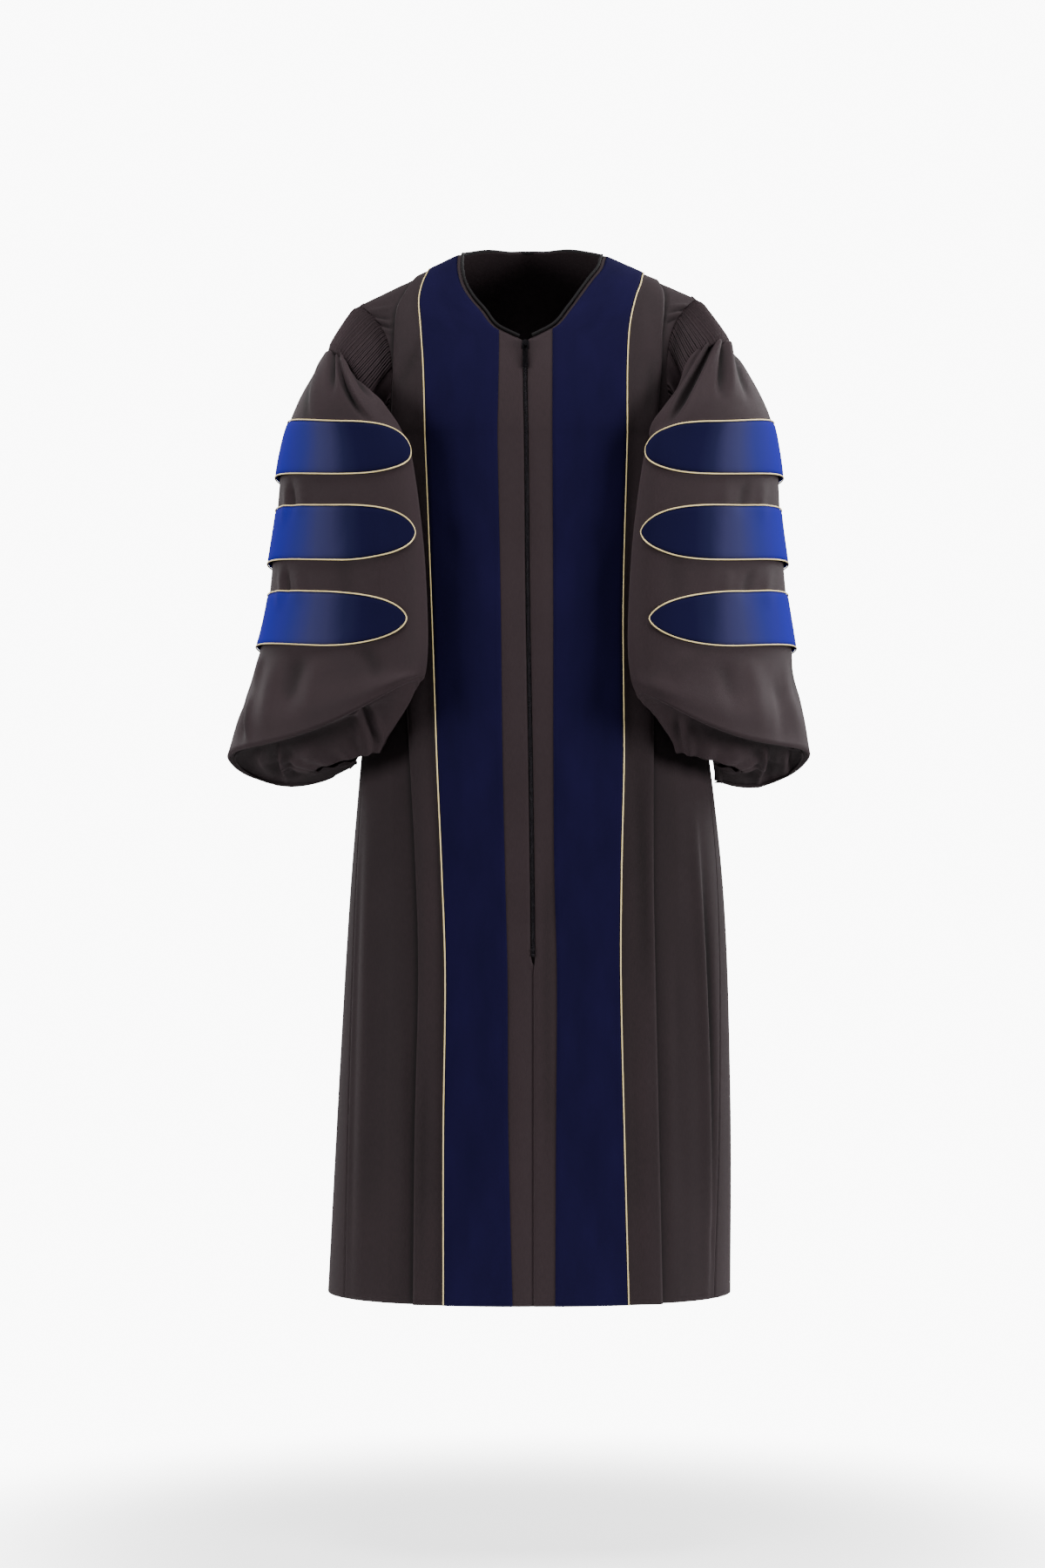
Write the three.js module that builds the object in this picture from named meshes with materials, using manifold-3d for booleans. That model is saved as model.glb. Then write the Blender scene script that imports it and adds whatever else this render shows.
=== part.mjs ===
// Graduation gown of the doctoral cut, in its worn form and hollow: a zipped front with velvet
// facings, fluted sleeve heads, bell sleeves turned under at the wrist, and three velvet bars
// edged with gold cord on each sleeve. Millimetres, +Z up, the front faces -Y. The origin lies
// in the neck opening, where the shoulders carry the gown. Right and left are the wearer's.
import * as THREE from 'three';
import Module from 'manifold-3d';
import { mergeVertices } from 'three/addons/utils/BufferGeometryUtils.js';

const wasm = await Module();
wasm.setup();

// Cloth thicknesses, seam gaps and cord sizes.
const WALL = 1.6;
const VELVET = 1.8;
const GAP = 0.3;
const CORD = 3.0;
const BINDING_WIDTH = 3.0;
const BINDING_DEPTH = 4.4;

// Lift of each layer's inner face above the form that the body hangs on.
const PANEL_LIFT = WALL + GAP;
const VELVET_LIFT = PANEL_LIFT + WALL + GAP;
const SLEEVE_LIFT = 2.2;
const BAR_LIFT = WALL + 0.9;

// Heights and shoulder line. The shoulder seam falls away evenly from the neck points.
const HEM = -1262;
const UNDERARM = -230;
const NECK_POINT = { x: 85, z: -6 };
const SHOULDER_FALL = 0.46;
const SHOULDER_TILT = 0.02;
const SHOULDER_Y = 8;
const SHOULDER_END = 192;
const SHOULDER_WIDE = 206;
const ARMHOLE_DIP = 20;
const UNDERARM_RAISE = 4;

// How the cloth rounds over the shoulder: powers of the rise and of the depth.
const FRONT_ROUND = { rise: 1.7, depth: 1.5 };
const BACK_ROUND = { rise: 1.9, depth: 1.8 };

const TUCK = 14;
const ZIP_EDGE = 2.5;
const MEET_EDGE = 0.5;
const ZIP_END = -850;
const MEET_BELOW = 4;
const ZIP_TAPE_HALF = 13;
const ZIP_TAPE_SINK = 0.8;
const ZIP_CHAIN_HALF = 2;
const CORD_ROOM = 4.6;

// Level sections of the body: half widths to each side, depths, and roundness of the outline.
const SECTIONS = [
  { z: HEM, right: 241, left: 245, front: 170, back: 164, round: 2.3, seam: 63 },
  { z: -1030, right: 229, left: 245, front: 162, back: 152, round: 2.35, seam: 67 },
  { z: -774, right: 214, left: 236, front: 153, back: 140, round: 2.45, seam: 72 },
  { z: -500, right: 192, left: 206, front: 141, back: 126, round: 2.55, seam: 80 },
  { z: UNDERARM, right: 180, left: 186, front: 128, back: 114, round: 2.6, seam: 90 },
];

// Lines on the front. Below the underarm "way" is minus the millimetres under it, and above it
// is the turn over the shoulder in degrees: 90 at the shoulder seam, 180 at the underarm behind.
const FRONT_LINES = [
  { way: HEM - UNDERARM, zip: 6, inRight: 18, outRight: 98, pleatRight: 133,
    inLeft: 32, outLeft: 117, pleatLeft: 156 },
  { way: -830, zip: 6, inRight: 23, outRight: 98, pleatRight: 131,
    inLeft: 33, outLeft: 112, pleatLeft: 152 },
  { way: -640, zip: 6, inRight: 24, outRight: 96, pleatRight: 127,
    inLeft: 34, outLeft: 108, pleatLeft: 148 },
  { way: -520, zip: 5, inRight: 27, outRight: 100, pleatRight: 130,
    inLeft: 31, outLeft: 109, pleatLeft: 146 },
  { way: -380, zip: 3, inRight: 30, outRight: 106, pleatRight: 137,
    inLeft: 30, outLeft: 112, pleatLeft: 146 },
  { way: -205, zip: 0, inRight: 32, outRight: 112, pleatRight: 147,
    inLeft: 30, outLeft: 111, pleatLeft: 146 },
  { way: 0, zip: -2, inRight: 36, outRight: 120, pleatRight: 158,
    inLeft: 29, outLeft: 116, pleatLeft: 149 },
  { way: 15, zip: -3, inRight: 35, outRight: 121, pleatRight: 158,
    inLeft: 29, outLeft: 116, pleatLeft: 152 },
  { way: 29, zip: -3, inRight: 34, outRight: 123, pleatRight: 157,
    inLeft: 29, outLeft: 117, pleatLeft: 156 },
  { way: 42, zip: -3, inRight: 34, outRight: 126, pleatRight: 157,
    inLeft: 29, outLeft: 120, pleatLeft: 158 },
  { way: 57, zip: -3, inRight: 34, outRight: 129, pleatRight: 155,
    inLeft: 29, outLeft: 128, pleatLeft: 162 },
  { way: 67, zip: -3, inRight: 34, outRight: 126, pleatRight: 147,
    inLeft: 29, outLeft: 134, pleatLeft: 163 },
  { way: 78, zip: -3, inRight: 34, outRight: 120, pleatRight: 139,
    inLeft: 29, outLeft: 137, pleatLeft: 160 },
  { way: 90, zip: -3, inRight: 34, outRight: 116, pleatRight: 133,
    inLeft: 29, outLeft: 139, pleatLeft: 158 },
];

// Neck edge, from the zip's top over the shoulder to the centre back.
const NECK_START = 29;
const NECK_END = 117;
const NECK = [
  { way: NECK_START, right: 5, left: 0 },
  { way: 35, right: 36, left: 31 },
  { way: 42, right: 52, left: 48 },
  { way: 49, right: 66, left: 61 },
  { way: 57, right: 75.7, left: 73 },
  { way: 67, right: 80, left: 85 },
  { way: 78, right: 80, left: 89 },
  { way: 90, right: 78.5, left: 90 },
  { way: 97, right: 70, left: 78 },
  { way: 105, right: 47, left: 50 },
  { way: 113, right: 22, left: 23 },
  { way: NECK_END, right: 0, left: 0 },
];

// Outer edge of the facing behind the shoulder seam, matched station by station to the neck edge.
const BACK_FACING = [
  { neck: 90, way: 90, right: 116, left: 139 },
  { neck: 97, way: 112, right: 108, left: 128 },
  { neck: 105, way: 129, right: 84, left: 94 },
  { neck: 113, way: 138, right: 42, left: 45 },
  { neck: NECK_END, way: 141, right: 0, left: 0 },
];

// Rings of a sleeve from the foot of the fluted head to the wrist. Outer and inner points give
// the ring's line as seen from the front; depth is half its size from front to back. Lift raises
// the front and lowers the back, crown raises both, and twist turns the ring's start forward.
const RINGS = [
  { outRight: 239, outLeft: 244, outY: 5, outZ: -120, inX: 176, inY: -5, inZ: -225,
    depth: 84, lift: 0, crown: 20, twist: 50 },
  { outRight: 279, outLeft: 287, outY: 8, outZ: -194, inX: 156, inY: -96, inZ: -236,
    depth: 78, lift: 26, crown: 6, twist: 25 },
  { outRight: 294, outLeft: 299, outY: 5, outZ: -243, inX: 141, inY: -128, inZ: -251,
    depth: 72, lift: 12, crown: -12, twist: 0 },
  { outRight: 304, outLeft: 305, outY: 5, outZ: -348, inX: 126, inY: -136, inZ: -354,
    depth: 78, lift: 14, crown: -12, twist: 0 },
  { outRight: 315, outLeft: 314, outY: 5, outZ: -451, inX: 120, inY: -140, inZ: -457,
    depth: 84, lift: 14, crown: -12, twist: 0 },
  { outRight: 331, outLeft: 322, outY: 5, outZ: -515, inX: 122, inY: -142, inZ: -512,
    depth: 90, lift: 18, crown: -18, twist: 0 },
  { outRight: 362, outLeft: 340, outY: 0, outZ: -598, inX: 131, inY: -144, inZ: -538,
    depth: 98, lift: 28, crown: -36, twist: 0 },
  { outRight: 340, outLeft: 322, outY: -2, outZ: -614, inX: 146, inY: -138, inZ: -556,
    depth: 82, lift: 30, crown: -28, twist: 0 },
  { outRight: 302, outLeft: 290, outY: -25, outZ: -623, inX: 166, inY: -124, inZ: -586,
    depth: 60, lift: 14, crown: -10, twist: 0 },
  { outRight: 259, outLeft: 257, outY: -60, outZ: -628, inX: 177, inY: -112, inZ: -608,
    depth: 44, lift: 0, crown: 0, twist: 0 },
];
// Further lift of the head's foot on each side, which dies out by the next ring.
const FOOT_RISE = { right: 0, left: 18 };

// Room kept between sleeve and body, in full below the last of these heights.
const SLEEVE_CLEARANCE = 10;
const CLEAR_FROM = -110;
const CLEAR_FULL = -195;

// Sleeve sampling: columns round the sleeve, and rows by ring number.
const SLEEVE_COLUMNS = 26;
const SLEEVE_ROWS = [
  0.004, 0.3, 0.65, 1, 1.4, 2, 2.3, 2.7, 3, 3.3, 3.7, 4, 4.4,
  5, 5.5, 6, 6.3, 6.6, 7, 7.5, 8, 9,
];

// Extra room at the seam between head and sleeve under the arm: parts of a ring and of the head,
// and how closely the room keeps to the underarm.
const SLEEVE_SEAM_ROOM = 0.21;
const HEAD_SEAM_ROOM = 0.5;
const SEAM_ROOM_POWER = 6;

// Gathers let out of the fluted head, and gathers drawn in at the wrist.
const GATHERS = SLEEVE_COLUMNS / 2;
const HEAD_GATHER = 4;
const WRIST_GATHER = 3;

// Fluted head: flutes over the shoulder, with a plain stretch under the arm.
const FLUTES = 100;
const FLUTE_HEIGHT = 2.0;
const FLUTED_TURN = 344;
const PLAIN_COLUMNS = 4;
const HEAD_ROWS = [0, 0.997];
const HEAD_FLUTING = [0.7, 1];
const HEAD_ABOVE_SEAM = 0.5;

// Velvet bars: ring number of the middle line, half height, and the sleeve columns where the
// back and front tips lie. A tip draws in over so many columns to a blunt point.
const BARS = [
  { ring: 2, half: 32, back: -10, front: 12 },
  { ring: 3, half: 32, back: -10, front: 11 },
  { ring: 4, half: 32, back: -9, front: 10 },
];
const BAR_TIP_COLUMNS = 4.5;
const BAR_TIP_POWER = 2.1;
const BAR_TIP_DRAW = 0.58;
const BAR_TIP_LEAST = 0.1;
const BAR_TIP_STEP = 0.35;
const BAR_LEAN = 4;

// Soft folds that hang down the back: place round the body from the centre back, in parts of
// the half girth, and the depth at the hem.
const BACK_FOLDS = [
  { at: -0.6, width: 0.1, depth: 9 },
  { at: -0.38, width: 0.11, depth: -11 },
  { at: -0.15, width: 0.1, depth: 11 },
  { at: 0.08, width: 0.1, depth: -10 },
  { at: 0.32, width: 0.11, depth: 11 },
  { at: 0.57, width: 0.1, depth: -9 },
];
const FOLD_TOP = -380;

// Zip slider and pull tab.
const SLIDER = { width: 8, length: 11, thick: 2.4, way: 27.5, lift: 0.5 };
const BRIDGE = { width: 2.4, leg: 1.6, half: 4.2, clear: 3.0, top: 1.4 };
const PULL = { width: 6, length: 31, thick: 1.4, bar: 1.6, window: 5.4, rail: 1.1, lean: 4.6 };

const SIDES = { right: -1, left: 1 };
const radians = THREE.MathUtils.degToRad;

// Smooth curve through one column of a table, over another column that rises or falls evenly.
function curveOf(rows, over, key) {
  const ordered = [...rows].sort((a, b) => a[over] - b[over]);
  const at = ordered.map((row) => row[over]);
  const value = ordered.map((row) => row[key]);
  const last = at.length - 1;
  const slope = value.map((_, i) => {
    const before = Math.max(i - 1, 0);
    const after = Math.min(i + 1, last);
    return (value[after] - value[before]) / (at[after] - at[before]);
  });
  return (place) => {
    const found = at.findIndex((a) => a > place);
    const i = found < 0 ? last - 1 : Math.max(found - 1, 0);
    const span = at[i + 1] - at[i];
    const t = THREE.MathUtils.clamp((place - at[i]) / span, 0, 1);
    const a = (1 + 2 * t) * (1 - t) ** 2;
    const b = t * (1 - t) ** 2 * span;
    const c = t * t * (3 - 2 * t);
    const d = t * t * (t - 1) * span;
    return a * value[i] + b * slope[i] + c * value[i + 1] + d * slope[i + 1];
  };
}

function curvesOf(rows, over) {
  const keys = Object.keys(rows[0]).filter((key) => key !== over);
  return Object.fromEntries(keys.map((key) => [key, curveOf(rows, over, key)]));
}

const section = curvesOf(SECTIONS, 'z');
const frontLine = curvesOf(FRONT_LINES, 'way');
const neckLine = curvesOf(NECK, 'way');
const facingLine = curvesOf(BACK_FACING, 'neck');
const ring = curvesOf(RINGS.map((row, number) => ({ number, ...row })), 'number');

const sideName = (side) => (side < 0 ? 'right' : 'left');
const capitalName = (side) => (side < 0 ? 'Right' : 'Left');

function shoulderHeight(x) {
  return NECK_POINT.z - SHOULDER_FALL * (Math.abs(x) - NECK_POINT.x) + SHOULDER_TILT * x;
}

// Depth of the level outline at height z, seen at x; facing is -1 in front and 1 behind.
function outlineDepth(x, z, facing, width) {
  const power = section.round(z);
  const share = Math.min(Math.abs(x) / width, 1);
  const depth = facing < 0 ? section.front(z) : section.back(z);
  return facing * depth * (1 - share ** power) ** (1 / power);
}

// Point of the level outline by its turn from the centre front (0) to the centre back (180).
function outlinePoint(turn, z, side) {
  const power = 2 / section.round(z);
  const facing = turn < 90 ? -1 : 1;
  const depth = facing < 0 ? section.front(z) : section.back(z);
  const x = side * section[sideName(side)](z) * Math.sin(radians(turn)) ** power;
  const y = facing * depth * Math.abs(Math.cos(radians(turn))) ** power;
  return new THREE.Vector3(x, y, z);
}

// Point of the form that the body hangs on, by x and by the way up the front and over the shoulder.
function bodyPoint(x, way) {
  if (way <= 0) {
    const z = UNDERARM + way;
    return new THREE.Vector3(x, outlineDepth(x, z, -1, section[sideName(x)](z)), z);
  }
  const facing = way < 90 ? -1 : 1;
  const round = facing < 0 ? FRONT_ROUND : BACK_ROUND;
  const rise = Math.sin(radians(way)) ** (2 / round.rise);
  const depth = Math.abs(Math.cos(radians(way))) ** (2 / round.depth);
  const underarmWidth = section[sideName(x)](UNDERARM);
  const width = underarmWidth + (SHOULDER_WIDE - underarmWidth) * rise;
  const foot = outlineDepth(x, UNDERARM, facing, width);
  const y = SHOULDER_Y + (foot - SHOULDER_Y) * depth;
  const z = UNDERARM + (shoulderHeight(x) - UNDERARM) * rise;
  return new THREE.Vector3(x, y, z);
}

// Direction straight out from the form, from small steps across it and along it.
function bodyNormal(x, way) {
  const step = 0.5;
  const across = bodyPoint(x + step, way).sub(bodyPoint(x - step, way));
  const along = bodyPoint(x, way + step).sub(bodyPoint(x, way - step));
  return across.cross(along).normalize();
}

// How far round to the underarm a turn lies: 0 outside, 1 inside.
const underArm = (turn) => 0.5 - 0.5 * Math.cos(radians(turn));

// Turn on the armhole, which lies twisted against the first ring of the sleeve.
const armholeTurn = (turn) => turn - RINGS[0].twist * underArm(turn);

// Share of the seam's extra room: 1 at the foot of the armhole, soon none on either side.
const seamRoom = (turn) => underArm(armholeTurn(turn)) ** SEAM_ROOM_POWER;

// Lift of a sleeve's inner face off its rings: full outside, none under the arm.
const sleeveLift = (turn) => SLEEVE_LIFT * (1 - underArm(turn));

// Armhole edge, as distance from the middle plane, by the way over the shoulder.
function armholeX(side, way) {
  const round = way < 90 ? FRONT_ROUND : BACK_ROUND;
  const rise = Math.sin(radians(way)) ** (2 / round.rise);
  const foot = section[sideName(side)](UNDERARM);
  return foot + (SHOULDER_END - foot) * rise - 4 * ARMHOLE_DIP * rise * (1 - rise);
}

const neckX = (side, way) => neckLine[sideName(side)](way);

// Normals of a grid of points, from its neighbours along the rows and the columns.
function gridNormals(grid, sign, closed) {
  const rows = grid.length;
  const columns = grid[0].length;
  return grid.map((row, i) => row.map((_, j) => {
    const before = closed ? (j + columns - 1) % columns : Math.max(j - 1, 0);
    const after = closed ? (j + 1) % columns : Math.min(j + 1, columns - 1);
    const across = row[after].clone().sub(row[before]);
    const along = grid[Math.min(i + 1, rows - 1)][j].clone().sub(grid[Math.max(i - 1, 0)][j]);
    return across.cross(along).normalize().multiplyScalar(sign);
  }));
}

function lifted(grid, normals, liftAt) {
  return grid.map((row, i) => row.map((p, j) => p.clone().addScaledVector(normals[i][j], liftAt(i, j))));
}

function geometryOf(points, faces) {
  const geometry = new THREE.BufferGeometry();
  const flat = points.flatMap((p) => [p.x, p.y, p.z]);
  geometry.setAttribute('position', new THREE.Float32BufferAttribute(flat, 3));
  geometry.setIndex(facingOut(points, faces).flat());
  geometry.computeVertexNormals();
  return geometry;
}

// Turns every face over when the closed form is inside out.
function facingOut(points, faces) {
  const volume = faces.reduce((sum, [a, b, c]) => {
    const side = points[b].clone().cross(points[c]);
    return sum + points[a].dot(side);
  }, 0);
  return volume > 0 ? faces : faces.map(([a, b, c]) => [a, c, b]);
}

// Closed wall between two grids of points: an outer face, an inner face and the cut edges.
function wallOf(outer, inner, closed = false) {
  const rows = outer.length;
  const columns = outer[0].length;
  const points = [...outer.flat(), ...inner.flat()];
  const faces = [];
  const o = (i, j) => i * columns + (j % columns);
  const n = (i, j) => rows * columns + o(i, j);
  const quad = (a, b, c, d) => faces.push([a, b, c], [a, c, d]);
  const spans = closed ? columns : columns - 1;
  for (let i = 0; i < rows - 1; i += 1) {
    for (let j = 0; j < spans; j += 1) {
      quad(o(i, j), o(i, j + 1), o(i + 1, j + 1), o(i + 1, j));
      faces.push([n(i, j), n(i + 1, j + 1), n(i, j + 1)], [n(i, j), n(i + 1, j), n(i + 1, j + 1)]);
    }
    if (!closed) {
      quad(o(i, 0), o(i + 1, 0), n(i + 1, 0), n(i, 0));
      quad(o(i + 1, spans), o(i, spans), n(i, spans), n(i + 1, spans));
    }
  }
  for (let j = 0; j < spans; j += 1) {
    quad(o(0, j + 1), o(0, j), n(0, j), n(0, j + 1));
    quad(o(rows - 1, j), o(rows - 1, j + 1), n(rows - 1, j + 1), n(rows - 1, j));
  }
  return geometryOf(points, faces);
}

// Cord of a few sides along a path; the up vectors keep its section from twisting.
function cordOf(path, ups, wide, high, sides, closed = false) {
  const count = path.length;
  const rings = path.map((point, i) => {
    const before = closed ? (i + count - 1) % count : Math.max(i - 1, 0);
    const after = closed ? (i + 1) % count : Math.min(i + 1, count - 1);
    const along = path[after].clone().sub(path[before]).normalize();
    const across = along.clone().cross(ups[i]).normalize();
    const up = across.clone().cross(along);
    return Array.from({ length: sides }, (_, k) => {
      const turn = (2 * Math.PI * (k + 0.5)) / sides;
      const p = point.clone().addScaledVector(across, wide * Math.cos(turn));
      return p.addScaledVector(up, high * Math.sin(turn));
    });
  });
  const faces = [];
  const v = (i, k) => (i % count) * sides + (k % sides);
  const lengths = closed ? count : count - 1;
  for (let i = 0; i < lengths; i += 1) {
    for (let k = 0; k < sides; k += 1) {
      faces.push([v(i, k), v(i, k + 1), v(i + 1, k + 1)], [v(i, k), v(i + 1, k + 1), v(i + 1, k)]);
    }
  }
  for (let k = 1; !closed && k < sides - 1; k += 1) {
    faces.push([v(0, 0), v(0, k + 1), v(0, k)]);
    faces.push([v(count - 1, 0), v(count - 1, k), v(count - 1, k + 1)]);
  }
  return geometryOf(rings.flat(), faces);
}

// Joins two closed geometries into one body.
function joined(first, second) {
  const solids = [first, second].map((geometry) => {
    const bare = geometry.clone();
    bare.deleteAttribute('normal');
    bare.deleteAttribute('uv');
    const merged = mergeVertices(bare.index ? bare.toNonIndexed() : bare, 1e-4);
    return new wasm.Manifold(new wasm.Mesh({
      numProp: 3,
      vertProperties: new Float32Array(merged.attributes.position.array),
      triVerts: new Uint32Array(merged.index.array),
    }));
  });
  const mesh = solids[0].add(solids[1]).getMesh();
  const geometry = new THREE.BufferGeometry();
  geometry.setAttribute('position', new THREE.Float32BufferAttribute(mesh.vertProperties, 3));
  geometry.setIndex(Array.from(mesh.triVerts));
  geometry.computeVertexNormals();
  return geometry;
}

const FINISHES = {
  cloth: { color: 0x2b272a, roughness: 0.85, metalness: 0 },
  velvet: { color: 0x0b1240, roughness: 0.95, metalness: 0 },
  bar: { color: 0x16267f, roughness: 0.9, metalness: 0 },
  gold: { color: 0xd8c48a, roughness: 0.45, metalness: 0.5 },
  tape: { color: 0x121113, roughness: 0.8, metalness: 0 },
  metal: { color: 0x3a393b, roughness: 0.35, metalness: 0.9 },
};

const gown = new THREE.Group();

function addPiece(name, geometry, finish, parent = gown) {
  const material = new THREE.MeshStandardMaterial(FINISHES[finish]);
  const mesh = new THREE.Mesh(geometry, material);
  mesh.name = name;
  parent.add(mesh);
  return mesh;
}

// Rows of the front, from the hem to the shoulder seam.
const FRONT_TOP = 89;
const FRONT_WAYS = [
  HEM - UNDERARM, -930, -830, -735, -640, -622, -520, -380, -290, -205, -100, 0,
  15, NECK_START, 35, 42, 49, 57, 67, 78, FRONT_TOP,
];

// Columns of the front panel: its free edge, the facing's edges and middle, the cord, the pleat.
const FACING_FIRST = 1;
const FACING_LAST = 3;

function frontColumns(side, way) {
  const name = capitalName(side);
  const open = UNDERARM + way < ZIP_END - MEET_BELOW ? MEET_EDGE : ZIP_EDGE;
  const zip = frontLine.zip(way) * side + open;
  const edge = way > NECK_START ? Math.max(neckX(side, way), zip) : zip;
  const facingIn = Math.max(frontLine[`in${name}`](way), edge + BINDING_WIDTH + 2 * GAP);
  const facingOut = frontLine[`out${name}`](way);
  const pleat = frontLine[`pleat${name}`](way);
  return [edge, facingIn, (facingIn + facingOut) / 2, facingOut, facingOut + CORD_ROOM, pleat];
}

function frontGrid(side) {
  return FRONT_WAYS.map((way) => frontColumns(side, way).map((x) => bodyPoint(side * x, way)));
}

function addFront(side) {
  const grid = frontGrid(side);
  const normals = gridNormals(grid, side, false);
  const inner = lifted(grid, normals, () => PANEL_LIFT);
  const outer = lifted(grid, normals, () => PANEL_LIFT + WALL);
  addPiece(`front_${sideName(side)}`, wallOf(outer, inner), 'cloth');
}

// Stations of the facing behind the shoulder seam, across the strip from the neck edge outwards.
const BACK_STATIONS = [93.5, 97, 101, 105, 109, 113, NECK_END];

function backFacingRow(side, station) {
  const outerWay = facingLine.way(station);
  const outerX = facingLine[sideName(side)](station);
  const innerX = neckX(side, station);
  const inset = BINDING_WIDTH + 2 * GAP;
  const middleGap = GAP;
  return [0, 0.5, 1].map((share) => {
    const x = Math.max(innerX + (outerX - innerX) * share, middleGap);
    const way = station + (outerWay - station) * share;
    const room = inset * (1 - share) * (station - 90) / (NECK_END - 90);
    const sideways = inset * (1 - share) - room;
    return { x: side * (x + sideways), way: way + room / 4 };
  });
}

// The whole facing from the hem to the centre back, with the lift of each row.
function facingRows(side) {
  const front = FRONT_WAYS.map((way) => {
    const columns = frontColumns(side, way).slice(FACING_FIRST, FACING_LAST + 1);
    return { points: columns.map((x) => bodyPoint(side * x, way)), lift: VELVET_LIFT };
  });
  const back = BACK_STATIONS.map((station) => {
    const points = backFacingRow(side, station).map((at) => bodyPoint(at.x, at.way));
    return { points, lift: VELVET_LIFT };
  });
  return [...front, ...back];
}

function addFacing(side) {
  const rows = facingRows(side);
  const grid = rows.map((row) => row.points);
  const whole = gridNormals(grid, side, false);
  const panel = gridNormals(frontGrid(side), side, false);
  const normals = whole.map((row, i) => row.map((n, j) => (panel[i] ? panel[i][j + FACING_FIRST] : n)));
  const inner = lifted(grid, normals, (i) => rows[i].lift);
  const outer = lifted(grid, normals, (i) => rows[i].lift + VELVET);
  addPiece(`facing_${sideName(side)}`, wallOf(outer, inner), 'velvet');
  addFacingCord(side, rows, grid, normals);
}

// Gold cord beside the facing's outer edge, half its room away from the velvet.
function addFacingCord(side, rows, grid, normals) {
  const path = grid.map((row, i) => {
    const edge = row[row.length - 1];
    const away = edge.clone().sub(row[row.length - 2]).normalize();
    const lift = rows[i].lift + CORD / 2;
    const up = normals[i][row.length - 1];
    return edge.clone().addScaledVector(away, CORD_ROOM / 2).addScaledVector(up, lift);
  });
  path[path.length - 1].x = side * (CORD / 2 + GAP);
  const ups = normals.map((row) => row[row.length - 1]);
  const radius = CORD / 2;
  addPiece(`facing_cord_${sideName(side)}`, cordOf(path, ups, radius, radius, 4), 'gold');
}

// Side front: from under the pleat edge to the side seam, and to the armhole above the underarm.
const SIDE_SHARES = [0.12, 0.42, 0.7, 0.9, 1];
const TUCK_SINK = [-3.4, -2];
const SIDE_SEAM_GAP = 0.25;
const SIDE_WAYS = [
  HEM - UNDERARM, -930, -830, -735, -640, -520, -380, -290, -205, -100, 0,
  2, 5, 9, 15, 22, NECK_START, 35, 42, 49, 57, 67, 78, FRONT_TOP,
];

function sideFrontRow(side, way) {
  const pleat = frontLine[`pleat${capitalName(side)}`](way);
  const tuck = [pleat - TUCK, pleat].map((x) => bodyPoint(side * x, way));
  if (way > 0) {
    const edge = armholeX(side, way) - GAP;
    const reach = SIDE_SHARES.map((share) => bodyPoint(side * (pleat + (edge - pleat) * share), way));
    return [...tuck, ...reach];
  }
  const z = UNDERARM + way;
  const width = section[sideName(side)](z);
  const from = THREE.MathUtils.radToDeg(Math.asin((pleat / width) ** (section.round(z) / 2)));
  const span = section.seam(z) - SIDE_SEAM_GAP - from;
  return [...tuck, ...SIDE_SHARES.map((share) => outlinePoint(from + span * share, z, side))];
}

const sideFrontGrid = (side) => SIDE_WAYS.map((way) => sideFrontRow(side, way));

function addSideFront(side) {
  const grid = sideFrontGrid(side);
  const normals = gridNormals(grid, side, false);
  const sunk = (i, j) => TUCK_SINK[j] ?? 0;
  const inner = lifted(grid, normals, sunk);
  const outer = lifted(grid, normals, (i, j) => sunk(i, j) + WALL);
  addPiece(`side_front_${sideName(side)}`, wallOf(outer, inner), 'cloth');
}

// Back: columns by their share of the shoulder end, rows up to the shoulder seams and the neck.
const BACK_TOPS = [0, 24, 47, 66, 79, 92, 115, 140, 162, 177, 187, SHOULDER_END];
const BACK_COLUMNS = [...BACK_TOPS.slice(1).reverse().map((x) => -x), ...BACK_TOPS];
const BACK_HEIGHTS = [HEM, -1150, -1030, -900, -774, -640, -500, -380, -290, UNDERARM];
const BACK_TOP = 91;
const BACK_RISES = [0.02, 0.055, 0.1, 0.18, 0.28, 0.39, 0.51, 0.63, 0.76, 0.88, 1];

function foldDepth(place, z) {
  const fall = THREE.MathUtils.smoothstep(FOLD_TOP - z, 0, FOLD_TOP - HEM);
  const sum = BACK_FOLDS.reduce((total, fold) => {
    const away = (place - fold.at) / fold.width;
    return total + fold.depth * Math.exp(-away * away);
  }, 0);
  return sum * fall;
}

function backLowerPoint(top, z) {
  const side = top < 0 ? -1 : 1;
  const power = section.round(UNDERARM) / 2;
  const share = Math.asin((Math.abs(top) / SHOULDER_END) ** power) / (Math.PI / 2);
  const turn = 180 - share * (180 - section.seam(z));
  const point = outlinePoint(turn, z, side);
  const out = new THREE.Vector3(point.x, point.y, 0).normalize();
  return point.addScaledVector(out, foldDepth(side * share, z));
}

// Way over the shoulder where a back column ends: the neck edge, or the shoulder seam.
function backTopWay(top) {
  const side = top < 0 ? -1 : 1;
  const name = sideName(side);
  const rows = NECK.filter((row) => row.way >= 90);
  const found = rows.findIndex((row) => row[name] <= Math.abs(top));
  if (found === 0) {
    return BACK_TOP;
  }
  const share = (Math.abs(top) - rows[found][name]) / (rows[found - 1][name] - rows[found][name]);
  return rows[found].way + (rows[found - 1].way - rows[found].way) * share;
}

const backEdgeWay = (rise) => 180 + (BACK_TOP - 180) * rise;

function backUpperPoint(top, rise) {
  const side = top < 0 ? -1 : 1;
  const way = 180 + (backTopWay(top) - 180) * rise;
  const edge = armholeX(side, backEdgeWay(rise)) - GAP;
  return bodyPoint((top / SHOULDER_END) * edge, way);
}

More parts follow.
